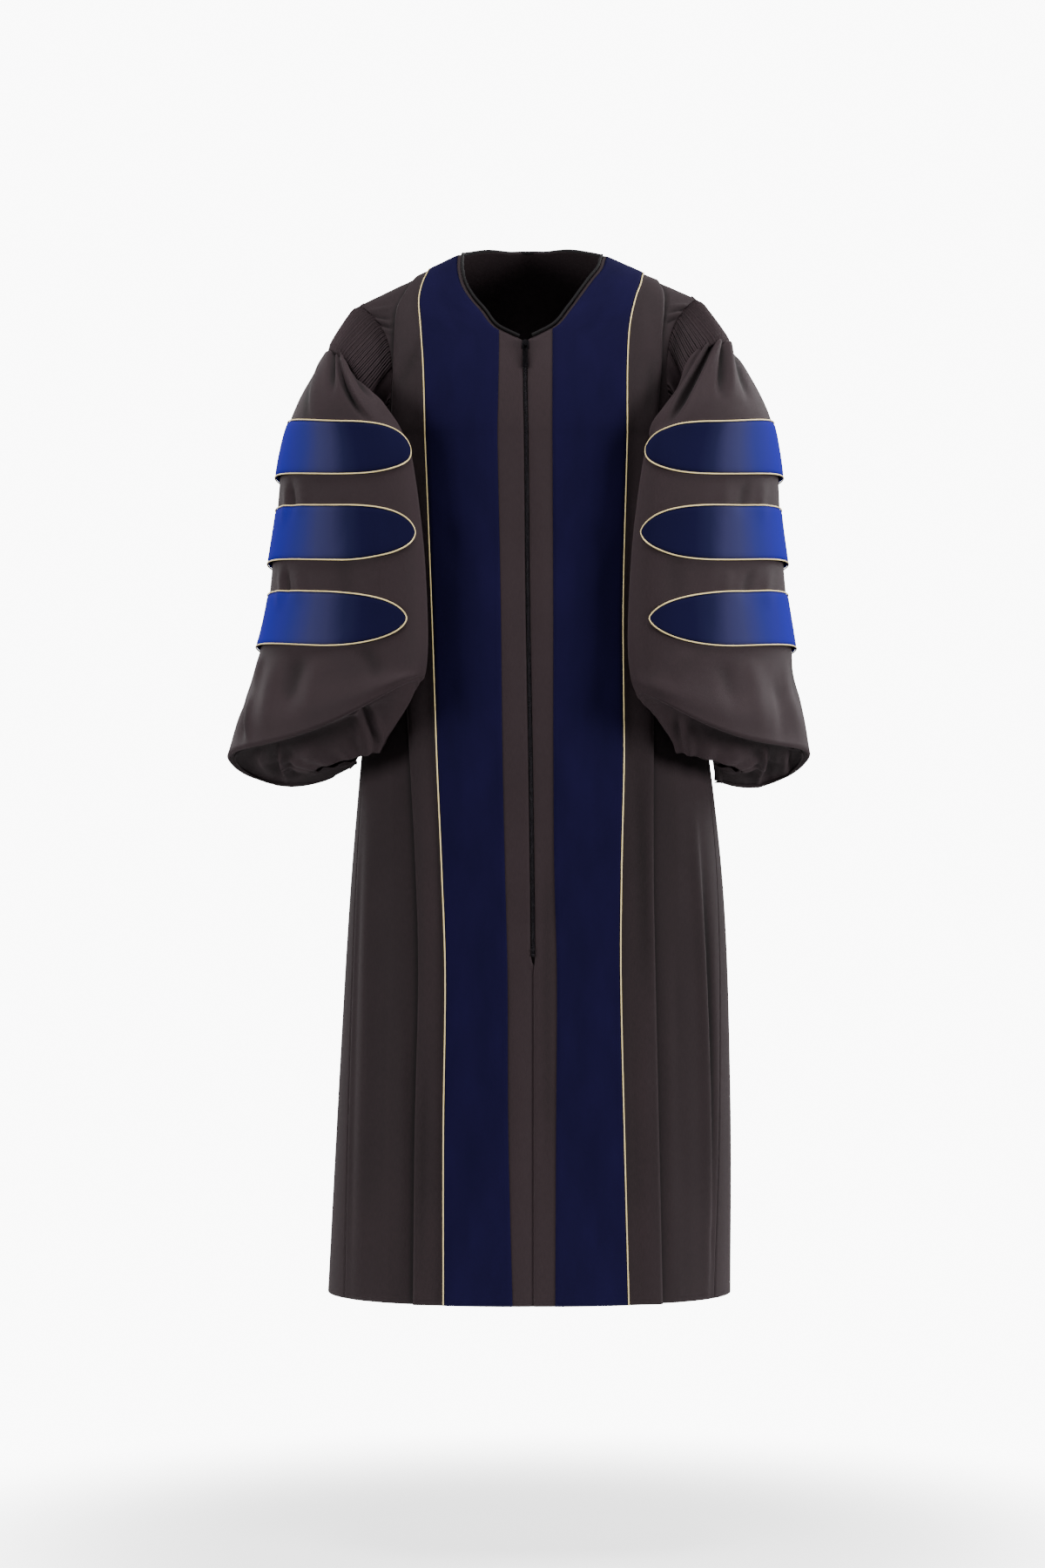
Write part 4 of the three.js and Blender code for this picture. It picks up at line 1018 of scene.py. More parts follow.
@dataclass(frozen=True)
class Front:
    """One side of the front: panel, side front, velvet facing and its gold cord."""

    side: Side
    finishes: Finishes
    panel_lift: float = 1.9
    velvet: float = 1.8
    velvet_lift: float = 3.8
    panel_columns: int = 48
    side_columns: int = 44
    tuck_columns: int = 6
    facing_columns: int = 30
    # Width and drop of the turned edges, and the reach from an edge over which folds fade out.
    panel_roll: Pair = (2.6, 1.2)
    velvet_roll: Pair = (2.4, 1.4)
    panel_margin: Pair = (1.0, 9.0)
    velvet_margin: Pair = (1.0, 8.0)
    # Right panel's drop under the left one below the zip, and its reach from the free edge.
    lap_drop: float = 2.4
    lap_reach: Pair = (4.0, 14.0)
    # Painted light: how much paler the strip beside the zip is painted, and how far it reaches.
    strip_painted_light: float = 0.2
    strip_reach: Pair = (26.0, 40.0)
    # Fold depths at which the painted shade of the panel and of the side front is full.
    panel_hollow: float = 4.0
    side_hollow: float = 5.0
    # Width of the tuck under the pleat, and the shares of the side front: its seam allowance below
    # and above the underarm, where it has come up from the pleat, and where its folds fade in and
    # out. Then the depths over which they fade out, and the degrees left free before the seam.
    tuck: float = 38.0
    allowance: float = 1.03
    upper_allowance: float = 1.005
    level_share: float = 0.3
    fade_in: Pair = (0.02, 0.14)
    fade_out: Pair = (0.8, 0.98)
    fade_depth: Pair = (230.0, 300.0)
    seam_room: float = 0.25
    # Depth of the side front: at its hidden end under the panel, part way, at the pleat, past it,
    # at the far seam and in the allowance behind that seam.
    sunk: Values = (0.15, -1.6, -3.0, 0.0, 0.0, -2.2)
    sunk_lost: float = 0.7
    # How far the pleat stands out, over which width, and the share lost at the shoulder.
    pleat_stand: float = 6.0
    pleat_wide: float = 30.0
    pleat_lost: float = 0.9
    # Painted shadow on the side front beside the pleat edge, right and left, and its reach.
    pleat_shade: Pair = (0.75, 0.4)
    pleat_shade_reach: float = 11.0
    # Painted light: how much paler the side front is painted low on the skirt, and the depths over which it
    # grows.
    side_paler: float = 0.15
    paler_depth: Pair = (300.0, 600.0)
    # Facing behind the shoulder: distance of its outer edge on each side, and that edge's way, at
    # the stations of the neck edge, with the length of one degree there.
    behind_rows: int = 40
    behind_right: Values = (116, 108, 84, 42, 0)
    behind_left: Values = (139, 128, 94, 45, 0)
    behind_way: Values = (90, 112, 129, 138, 141)
    degree: float = 4.0
    # Cord's place: out from the velvet's edge, up from its under face, and half its room at the
    # centre back.
    cord_out: float = 0.8
    cord_up: float = 1.1
    cord_half: float = 1.3

    def panel_creases(self) -> tuple[Crease, ...]:
        """Soft folds of the front panel, placed one by one."""
        if self.side is Side.RIGHT:
            return crease_table(
                (-20, -260, -16, -640, 9, 1.2, 3), (-12, -900, -10, -1240, 7, 1.0, -2),
                (-135, -250, -130, -520, 8, -1.4, 3), (-118, -640, -122, -980, 9, 1.6, -4),
                (-120, -960, -124, -1250, 8, -1.2, 2), (-140, -130, -120, -60, 9, 1.3, 3),
                (-150, -175, -128, -110, 7, -1.2, 2),
            )
        return crease_table(
            (12, -230, 20, -600, 8, 1.2, -3), (24, -700, 26, -1180, 8, -1.1, 3),
            (132, -280, 128, -560, 8, 1.5, 3), (128, -600, 136, -930, 9, -1.5, -3),
            (136, -900, 142, -1250, 8, 1.4, 2), (150, -150, 140, -70, 8, 1.4, -3),
            (140, -210, 146, -120, 6, -1.2, 2),
        )

    def side_creases(self) -> tuple[Crease, ...]:
        """Folds of the side front: down the skirt, and short ones drawn in at the yoke."""
        if self.side is Side.RIGHT:
            return crease_table(
                (-202, -700, -217, -1290, 7, -4.5, 4), (-190, -720, -203, -1290, 9, 4.0, -3),
                (-165, -780, -172, -1290, 11, -1.4, 4), (-150, -900, -152, -1280, 9, 1.2, -3),
                (-196, -74, -160, -70, 3.0, 1.6, 1), (-194, -79, -160, -86, 2.4, -2.4, 1),
                (-188, -82, -158, -95, 2.6, 2.2, 1), (-184, -89, -156, -99, 2.2, -2.4, 1),
                (-178, -95, -156, -106, 2.4, 1.8, 1),
            )
        return crease_table(
            (199, -690, 213, -1290, 5.5, 5.5, -7, 1.0, Ends.SOFT, -0.4),
            (207, -720, 225, -1290, 5.5, -5.0, -5), (180, -760, 184, -1290, 11, -1.6, 3),
            (164, -860, 170, -1290, 9, 1.3, -3), (219, -1175, 236, -1245, 5, -2.4, 3),
            (198, -66, 166, -72, 3.0, 1.6, 1), (194, -71, 164, -80, 2.4, -2.2, 1),
            (188, -76, 163, -87, 2.6, 2.2, 1), (180, -83, 164, -94, 2.2, -2.4, 1),
        )

    def panel_grid(self) -> tuple[Surface, Array, Array]:
        """Plain panel: x runs evenly from the free edge to the pleat edge at each way.

        Returns:
            The surface on the body's form, the shares across it, and its width at each row.
        """
        share = np.linspace(0, 1, self.panel_columns)[None, :]
        edge = FORM.front_edge(self.side, FRONT_WAYS)
        width = FORM.by_side("pleat", self.side, FRONT_WAYS) - edge
        x = self.side.value * (edge[:, None] + width[:, None] * share)
        return Surface(FORM.point(x, FRONT_WAYS[:, None]), self.side.value), share, width[:, None]

    def build_panel(self) -> None:
        """Front panel: the form raised over the side front, with turned edges and soft folds."""
        plain, share, width = self.panel_grid()
        x, z = plain.points[..., 0], plain.points[..., 2]
        lift = self.panel_lift + FORM.wall + turned_edges(share, width, *self.panel_roll)
        inside = smoothstep(np.minimum(share, 1 - share) * width, *self.panel_margin)
        proud = self.pleat_stand * smoothstep(share * width, width - self.pleat_wide, width)
        proud = proud * (1 - self.pleat_lost * SHOULDER_SHARE)[:, None]
        folds = creased(self.panel_creases(), x, z) * inside
        lapped = FORM.below_zip(z) * (1 - smoothstep(share * width, *self.lap_reach))
        under = -self.lap_drop * lapped if self.side is Side.RIGHT else 0.0
        face = plain.raised(lift + proud + folds + under)
        piece = surface_object(f"front_cloth_{self.side.label}", face, FORM.wall)
        # Painted shade in the folds' hollows, and painted light on their ridges and on the strip beside the
        # zip.
        strip = 1 - smoothstep(share * width, *self.strip_reach)
        point_values(piece, "valley", hollowed(folds, self.panel_hollow) - self.strip_painted_light * strip)
        dressing = Dressing(self.finishes.cloth, "gown_cloth", (f"front_{self.side.label}",))
        dressing.hang(piece)

    def side_grid(self) -> tuple[Surface, Array]:
        """Plain side front, from under the pleat edge to the side seam or the armhole.

        Returns:
            The surface on the body's form, and each column's place: minus the millimetres under
            the pleat, then the share from the pleat to the far edge, and a little seam allowance.
        """
        ways = FRONT_WAYS
        pleat = FORM.by_side("pleat", self.side, ways)[:, None]
        under = np.linspace(-self.tuck, 0, self.tuck_columns, endpoint=False)[None, :]
        share = np.append(np.linspace(0, 1, self.side_columns) ** 0.9, self.allowance)[None, :]
        tucked = FORM.point(self.side.value * (pleat + under), ways[:, None])
        armhole = FORM.armhole(self.side, ways)[:, None] - FORM.gap
        reach = np.minimum(share, self.upper_allowance)
        upper = FORM.point(self.side.value * (pleat + (armhole - pleat) * reach), ways[:, None])
        z = FORM.underarm + np.minimum(ways, 0.0)[:, None]
        power = FORM.section("roundness", z) / 2
        first = np.degrees(np.arcsin((pleat / FORM.by_side("half", self.side, z)) ** power))
        last = FORM.section("seam_turn", z) - self.seam_room
        turn = first + (last - first) * share
        lower = FORM.outline_point(turn, np.broadcast_to(z, turn.shape), self.side)
        shown = np.where((ways > 0)[:, None, None], upper, lower)
        points = np.concatenate([tucked, shown], axis=1)
        return Surface(points, self.side.value), np.concatenate([under, share], axis=1)

    def build_side(self) -> None:
        """Side front: it sinks under the pleat edge and carries the skirt's folds."""
        plain, place = self.side_grid()
        x, z = plain.points[..., 0], plain.points[..., 2]
        stations = [-self.tuck, -self.tuck / 2, 0, self.level_share, 1.0, self.allowance]
        sunk = np.interp(place[0], stations, self.sunk)[None, :]
        sunk = sunk * (1 - self.sunk_lost * SHOULDER_SHARE[:, None] * (place < 1))
        seam = 1 - smoothstep(place, *self.fade_out) * smoothstep(-z, *self.fade_depth)
        folds = creased(self.side_creases(), x, z) * smoothstep(place, *self.fade_in) * seam
        face = plain.raised(FORM.wall + sunk + folds)
        piece = surface_object(f"side_cloth_{self.side.label}", face, FORM.wall)
        # Painted shadow beside the pleat edge, painted shade in the folds' hollows, and painted light on
        # ridges and low on the skirt.
        beside = np.abs(x) - np.abs(x[:, self.tuck_columns : self.tuck_columns + 1])
        near = 1 - smoothstep(beside, 1.0, self.pleat_shade_reach)
        shadow = self.pleat_shade[self.side is Side.LEFT] * near
        paler = self.side_paler * smoothstep(-z, *self.paler_depth)
        point_values(piece, "valley", np.maximum(hollowed(folds, self.side_hollow) - paler, shadow))
        dressing = Dressing(self.finishes.cloth, "gown_cloth", (f"side_front_{self.side.label}",))
        dressing.hang(piece)

    def facing_grid(self) -> tuple[Surface, Array, Array]:
        """Plain facing: up the front between its edges, then round the back neck to the middle.

        Behind the shoulder each station joins a place on the neck edge to one on the outer edge.

        Returns:
            The surface on the body's form, the shares across it, and its width at each row.
        """
        share = np.linspace(0, 1, self.facing_columns)[None, :]
        first, last = (edge[:, None] for edge in FORM.facing_edges(self.side, FRONT_WAYS))
        front = FORM.point(self.side.value * (first + (last - first) * share), FRONT_WAYS[:, None])
        station = np.linspace(90, FORM.neck_end, self.behind_rows)[:, None]
        stops = FORM.neck_way[FORM.neck_seam :]
        outer_x = SmoothCurve(stops, getattr(self, f"behind_{self.side.label}"))(station)
        outer_way = SmoothCurve(stops, self.behind_way)(station)
        inner_x = FORM.by_side("neck", self.side, station)
        inset = (FORM.binding + 2 * FORM.gap) * (1 - share)
        room = inset * (station - 90) / (FORM.neck_end - 90)
        x = np.maximum(inner_x + (outer_x - inner_x) * share, FORM.gap) + inset - room
        way = station + (outer_way - station) * share + room / self.degree
        points = np.concatenate([front, FORM.point(self.side.value * x, way)])
        width = np.linalg.norm(np.diff(points, axis=1), axis=-1).sum(axis=1)[:, None]
        return Surface(points, self.side.value), share, width

    def facing_creases(self) -> tuple[Crease, ...]:
        """Faint slanting dents in the velvet near the neck, and long shallow ones below."""
        if self.side is Side.RIGHT:
            return crease_table(
                (-110, -60, -70, -95, 7, -0.8, 2), (-100, -330, -60, -420, 12, -0.7, 5),
                (-60, -560, -90, -760, 12, 0.7, 6), (-50, -900, -80, -1120, 13, -0.8, -6),
            )
        return crease_table(
            (50, -92, 112, -62, 7, 1.0, 2), (60, -112, 118, -84, 6, -0.9, 2),
            (100, -330, 60, -450, 12, 0.8, -5), (60, -600, 90, -800, 12, -0.7, -6),
            (100, -950, 60, -1160, 13, 0.8, 5),
        )

    def build_facing(self) -> None:
        """Velvet facing with turned edges, and the twisted gold cord beside its outer edge."""
        plain, share, width = self.facing_grid()
        x, z = plain.points[..., 0], plain.points[..., 2]
        inside = smoothstep(np.minimum(share, 1 - share) * width, *self.velvet_margin)
        lift = self.velvet_lift + self.velvet + turned_edges(share, width, *self.velvet_roll)
        face = plain.raised(lift + creased(self.facing_creases(), x, z) * inside)
        piece = surface_object(f"facing_velvet_{self.side.label}", face, self.velvet)
        dressing = Dressing(self.finishes.velvet, "facing_velvet", (f"facing_{self.side.label}",))
        dressing.hang(piece)
        self.build_cord(plain)

    def build_cord(self, plain: Surface) -> None:
        """Gold cord along the facing's outer edge, close beside the velvet.

        Args:
            plain: The facing's surface on the body's form.
        """
        edge, before = plain.points[:, -1], plain.points[:, -2]
        ups = plain.normals()[:, -1]
        path = edge + unit(edge - before) * self.cord_out + ups * (self.velvet_lift + self.cord_up)
        path[-1, 0] = self.side.value * (self.cord_half + FORM.gap)
        cord = Cord()
        piece = surface_object(f"facing_piping_{self.side.label}", cord.surface(path, ups, closed=False))
        cord.shade(piece)
        Dressing(self.finishes.gold, "gold_cord", (f"facing_cord_{self.side.label}",)).put_on(piece)

    def build(self) -> None:
        """Builds the pieces of this side of the front."""
        self.build_panel()
        self.build_side()
        self.build_facing()


@dataclass(frozen=True)
class Back:
    """Back of the gown in one piece, with soft folds that hang to the hem."""

    finishes: Finishes
    top_way: float = 91.0
    under_binding: float = 1.3
    columns: int = 125
    skirt_rows: int = 120
    top_rows: int = 64
    first_rise: float = 0.02
    # Depths at which the painted shade of the creases and of the hanging folds is full.
    crease_hollow: float = 5.0
    fold_hollow: float = 14.0
    fold_top: float = -380.0
    # Place of each fold in parts of the half girth, its width, and its depth at the hem.
    folds: tuple[Values, ...] = (
        (-0.6, 0.1, 9), (-0.38, 0.11, -11), (-0.15, 0.1, 11),
        (0.08, 0.1, -10), (0.32, 0.11, 11), (0.57, 0.1, -9),
    )
    creases: tuple[Crease, ...] = crease_table(
        (-150, -140, -90, -330, 12, -2.2, 8), (150, -150, 95, -340, 12, -2.4, -8),
        (-110, -240, -70, -520, 11, 2.2, 6), (100, -260, 60, -560, 12, 2.0, -6),
        (-20, -300, -28, -760, 13, -2.2, 6), (30, -420, 24, -900, 12, 1.8, -5),
        (-140, -520, -150, -1200, 12, 2.4, 8), (130, -560, 150, -1240, 13, -2.6, -8),
        (-60, -800, -52, -1290, 11, -2.0, 5), (80, -780, 90, -1290, 10, 1.8, -4),
    )

    def fold_depth(self, place: Array, z: Array) -> Array:
        """Depth of the hanging folds: a bell each, growing from their top to the hem."""
        fall = smoothstep(self.fold_top - z, 0, self.fold_top - FORM.hem)
        return sum(depth * np.exp(-(((place - at) / width) ** 2)) for at, width, depth in self.folds) * fall

    def grid(self) -> Surface:
        """Plain back: ovals with folds below the underarm, the shoulder's form above it.

        Returns:
            The surface on the body's form.
        """
        place = np.linspace(-1, 1, self.columns)[None, :]
        power = FORM.section("roundness", FORM.underarm) / 2
        top = np.sign(place) * FORM.shoulder_end * np.sin(np.abs(place) * np.pi / 2) ** (1 / power)
        z = np.linspace(FORM.hem, FORM.underarm, self.skirt_rows)[:, None]
        turn = 180 - np.abs(place) * (180 - FORM.section("seam_turn", z))
        z_all = np.broadcast_to(z, turn.shape)
        right, left = (FORM.outline_point(turn, z_all, side) for side in (Side.RIGHT, Side.LEFT))
        lower = np.where((place < 0)[..., None], right, left)
        level = lower * np.array([1.0, 1.0, 0.0])
        lower = lower + unit(level) * self.fold_depth(place, z)[..., None]
        rise = np.linspace(self.first_rise, 1, self.top_rows)[:, None]
        edge_way = 180 + (self.top_way - 180) * rise
        neck = np.where(place < 0, self.neck_way(top, Side.RIGHT), self.neck_way(top, Side.LEFT))
        way = 180 + (neck - 180) * rise
        edges = [FORM.armhole(side, edge_way) - FORM.gap for side in (Side.RIGHT, Side.LEFT)]
        x = top / FORM.shoulder_end * np.where(place < 0, edges[0], edges[1])
        return Surface(np.concatenate([lower, FORM.point(x, way)]), -1)

    def neck_way(self, top: Array, side: Side) -> Array:
        """Way at which a column ends: on the neck edge, or at the shoulder seam."""
        edge = np.array(getattr(FORM, f"neck_{side.label}")[FORM.neck_seam :])
        ways = np.array(FORM.neck_way[FORM.neck_seam :], float)
        return np.maximum(np.interp(np.abs(top), edge[::-1], ways[::-1]) - self.under_binding, self.top_way)

    def build(self) -> None:
        """Back cloth: the plain back raised by its wall and its finer folds."""
        plain = self.grid()
        x, z = plain.points[..., 0], plain.points[..., 2]
        folds = creased(self.creases, x, z)
        face = plain.raised(FORM.wall + folds)
        piece = surface_object("back_cloth", face, FORM.wall)
        # Painted shade in the hollows of the creases and the hanging folds, and painted light on their
        # ridges.
        hung = self.fold_depth(np.linspace(-1, 1, self.columns)[None, :], np.minimum(z, self.fold_top))
        valley = hollowed(folds, self.crease_hollow) + hollowed(hung, self.fold_hollow)
        point_values(piece, "valley", valley)
        dressing = Dressing(self.finishes.cloth, "gown_cloth", ("back",))
        dressing.hang(piece)


@dataclass(frozen=True)
class NeckBinding:
    """Narrow binding round the neck edge, from one side of the zip to the other."""

    finishes: Finishes
    depth: float = 4.4
    lift: float = 3.5
    lift_behind: float = 2.55
    sides: int = 14
    squareness: float = 0.6
    front_rows: int = 70
    back_rows: int = 30
    # First and last way behind the shoulder seam.
    behind: Pair = (91.0, 115.5)

    def build(self) -> None:
        """Rounded binding: a soft oblong section carried along the inside of the neck edge."""
        before = np.linspace(FORM.neck_start + 1, 90, self.front_rows)
        way = np.concatenate([before, np.linspace(*self.behind, self.back_rows)])
        ways = np.concatenate([way, way[::-1]])
        right = -FORM.by_side("neck", Side.RIGHT, way)
        x = np.concatenate([right, FORM.by_side("neck", Side.LEFT, way)[::-1]])
        points, ups = FORM.point(x, ways), FORM.normal(x, ways)
        inside = unit(np.cross(np.gradient(points, axis=0), ups))
        lift = np.where(ways < 90, self.lift, self.lift_behind)[:, None]
        half = FORM.binding / 2
        path = points + inside * (half + 3 * FORM.gap) + ups * lift
        across = unit(np.cross(unit(np.gradient(path, axis=0)), ups))
        turn = 2 * np.pi * np.arange(self.sides) / self.sides
        wide = half * np.sign(np.cos(turn)) * np.abs(np.cos(turn)) ** self.squareness
        high = self.depth / 2 * np.sign(np.sin(turn)) * np.abs(np.sin(turn)) ** self.squareness
        grid = path[:, None] + wide[None, :, None] * across[:, None] + high[None, :, None] * ups[:, None]
        piece = surface_object("neck_edge_binding", Surface(grid, -1, True))
        Dressing(self.finishes.binding, "gown_cloth", ("neck_binding",)).put_on(piece)


@dataclass(frozen=True)
class SleeveForm:
    """Form of one sleeve: rings from the fluted head to the wrist, by ring number and turn.

    Turn 0 is outside, 90 in front and 180 inside.
    """

    side: Side
    lift: float = 2.2
    clearance: float = 10.0
    clear_from: float = -110.0
    clear_full: float = -195.0
    out_right: Values = (239, 279, 294, 304, 315, 331, 362, 340, 302, 259)
    out_left: Values = (244, 287, 299, 305, 314, 322, 340, 322, 290, 257)
    out_y: Values = (5, 8, 5, 5, 5, 5, 0, -2, -25, -60)
    out_z: Values = (-120, -194, -243, -348, -451, -515, -598, -614, -623, -628)
    in_x: Values = (176, 156, 141, 126, 120, 122, 131, 146, 166, 177)
    in_y: Values = (-5, -96, -128, -136, -140, -142, -144, -138, -124, -112)
    in_z: Values = (-225, -236, -251, -354, -457, -512, -538, -556, -586, -608)
    depth: Values = (84, 78, 72, 78, 84, 90, 98, 82, 60, 44)
    raise_front: Values = (0, 26, 12, 14, 14, 18, 28, 30, 14, 0)
    crown: Values = (20, 6, -12, -12, -12, -18, -36, -28, -10, 0)
    twist: Values = (50, 25, 0, 0, 0, 0, 0, 0, 0, 0)
    foot_rise: float = 18.0
    # How much lower the low fold hangs: all round, and more outside than inside.
    sag_right: Pair = (3.0, 14.0)
    sag_left: Pair = (9.0, 5.0)
    sag_reach: float = 0.7
    # Swell of the cloth over the armhole in front, right and left: how far, from which ring, at
    # which turn and how fast the turn grows, then its way inwards and up.
    swell: tuple[Values, ...] = (
        (7.5, 0.0, 118, 53, -0.766, 0.644), (14.0, -0.35, 140, 42, -0.838, 0.545),
    )
    swell_wide: float = 32.0
    swell_rise: float = 0.5
    swell_fade: Pair = (0.9, 1.6)
    head_middle: Place = (195.0, 0.0, -170.0)
    head_bulge: float = 2.0
    head_allowance: float = 2.0
    flute_slant: Pair = (0.0, 9.0)
    fold_ring: float = 6.0
    fold_crisp: float = 0.85
    fold_reach: float = 0.45

    def at(self, field: str, number: Array) -> Array:
        """Value of one of the rings' sizes: a smooth curve, made straight on both sides of the fold."""
        values = getattr(self, field)
        rings = tuple(range(len(values)))
        smooth = SmoothCurve(rings, values)(number)
        crisp = self.fold_crisp * np.exp(-(((number - self.fold_ring) / self.fold_reach) ** 2))
        return smooth + (np.interp(number, rings, values) - smooth) * crisp

    def point(self, number: Array, turn: Array) -> Array:
        """Point of a ring: a tilted oval between its outer and inner point, kept off the body.

        Args:
            number: Ring numbers, whole or part.
            turn: Turns round the ring, in degrees.

        Returns:
            Points in millimetres.
        """
        number, turn = np.broadcast_arrays(np.asarray(number, float), np.asarray(turn, float))
        bend = np.radians(turn - self.at("twist", number) * (1 - np.cos(np.radians(turn))) / 2)
        c, s = np.cos(bend), np.sin(bend)
        out = self.at(f"out_{self.side.label}", number)
        x = (out + self.at("in_x", number)) / 2 + (out - self.at("in_x", number)) / 2 * c
        out_y, in_y = self.at("out_y", number), self.at("in_y", number)
        y = (out_y + in_y) / 2 + (out_y - in_y) / 2 * c - self.at("depth", number) * s
        out_z, in_z = self.at("out_z", number), self.at("in_z", number)
        rise = (self.foot_rise if self.side is Side.LEFT else 0.0) * (1 - smoothstep(number, 0, 1))
        z = (out_z + in_z) / 2 + (out_z - in_z) / 2 * c + (self.at("raise_front", number) + rise) * s
        level, tilt = self.sag_right if self.side is Side.RIGHT else self.sag_left
        sag = (level + tilt * c) * np.exp(-(((number - self.fold_ring) / self.sag_reach) ** 2))
        z = z + self.at("crown", number) * s * s - sag
        inwards, upwards = self.swollen(number, turn)
        return self.kept_clear(np.stack([self.side.value * (x + inwards), y, z + upwards], axis=-1))

    def swollen(self, number: Array, turn: Array) -> tuple[Array, Array]:
        """How far the cloth swells over the front of the armhole, sideways and upwards."""
        far, start, first, growth, sideways, upwards = self.swell[self.side is Side.LEFT]
        rows = smoothstep(number, start, start + self.swell_rise) * (1 - smoothstep(number, *self.swell_fade))
        away = np.mod(turn - first - growth * number + 180, 360) - 180
        share = far * rows * np.exp(-((away / self.swell_wide) ** 2))
        return share * sideways, share * upwards

    def kept_clear(self, points: Array) -> Array:
        """Points moved straight out from the body's middle line where they would meet the body."""
        x, y, z = points[..., 0], points[..., 1], points[..., 2]
        level = np.minimum(z, FORM.underarm)
        power = FORM.section("roundness", level)
        width = FORM.half_width(x, level) + self.clearance
        depth = FORM.depth_at(level, y) + self.clearance
        reach = (np.abs(x / width) ** power + np.abs(y / depth) ** power) ** (1 / power)
        share = smoothstep(-z, -self.clear_from, -self.clear_full)
        scale = 1 + (np.maximum(1 / np.maximum(reach, 1e-6), 1) - 1) * share
        return np.stack([x * scale, y * scale, z], axis=-1)

    def inside_share(self, turn: Array) -> Array:
        """How far round to the underarm a turn lies: 0 outside, 1 inside."""
        return 0.5 - 0.5 * np.cos(np.radians(turn))

    def cloth_lift(self, turn: Array) -> Array:
        """Lift of the sleeve's inner face off its rings: full outside, none under the arm."""
        return self.lift * (1 - self.inside_share(turn))

    def head_point(self, share: Array, turn: Array) -> Array:
        """Point of the fluted head, between the armhole edge and the first ring, rounded out.

        Args:
            share: Place from the armhole edge (0) to the first ring (1), less than 0 inside the seam.
            turn: Turns round the ring, in degrees.

        Returns:
            Points in millimetres.
        """
        bend = turn - self.twist[0] * (1 - np.cos(np.radians(turn))) / 2
        slant = self.flute_slant[self.side is Side.LEFT] * np.sin(np.radians(bend))
        way = np.mod(90 - bend / 2 + slant, 180)
        room = np.where(share < 0, -self.head_allowance, FORM.gap)
        edge = FORM.point(self.side.value * (FORM.armhole(self.side, way) + room), way)
        raised = FORM.underarm_raise * (1 - np.sin(np.radians(way))) ** 3 * (share >= 0)
        edge = edge + np.array([0, 0, 1.0]) * raised[..., None]
        foot = self.point(np.zeros_like(turn), turn)
        middle = np.array([self.side.value * self.head_middle[0], *self.head_middle[1:]])
        points = edge + (foot - edge) * share[..., None]
        bulge = self.head_bulge * 4 * share * (1 - share) * (1 - self.inside_share(turn))
        return points + unit(points - middle) * bulge[..., None]


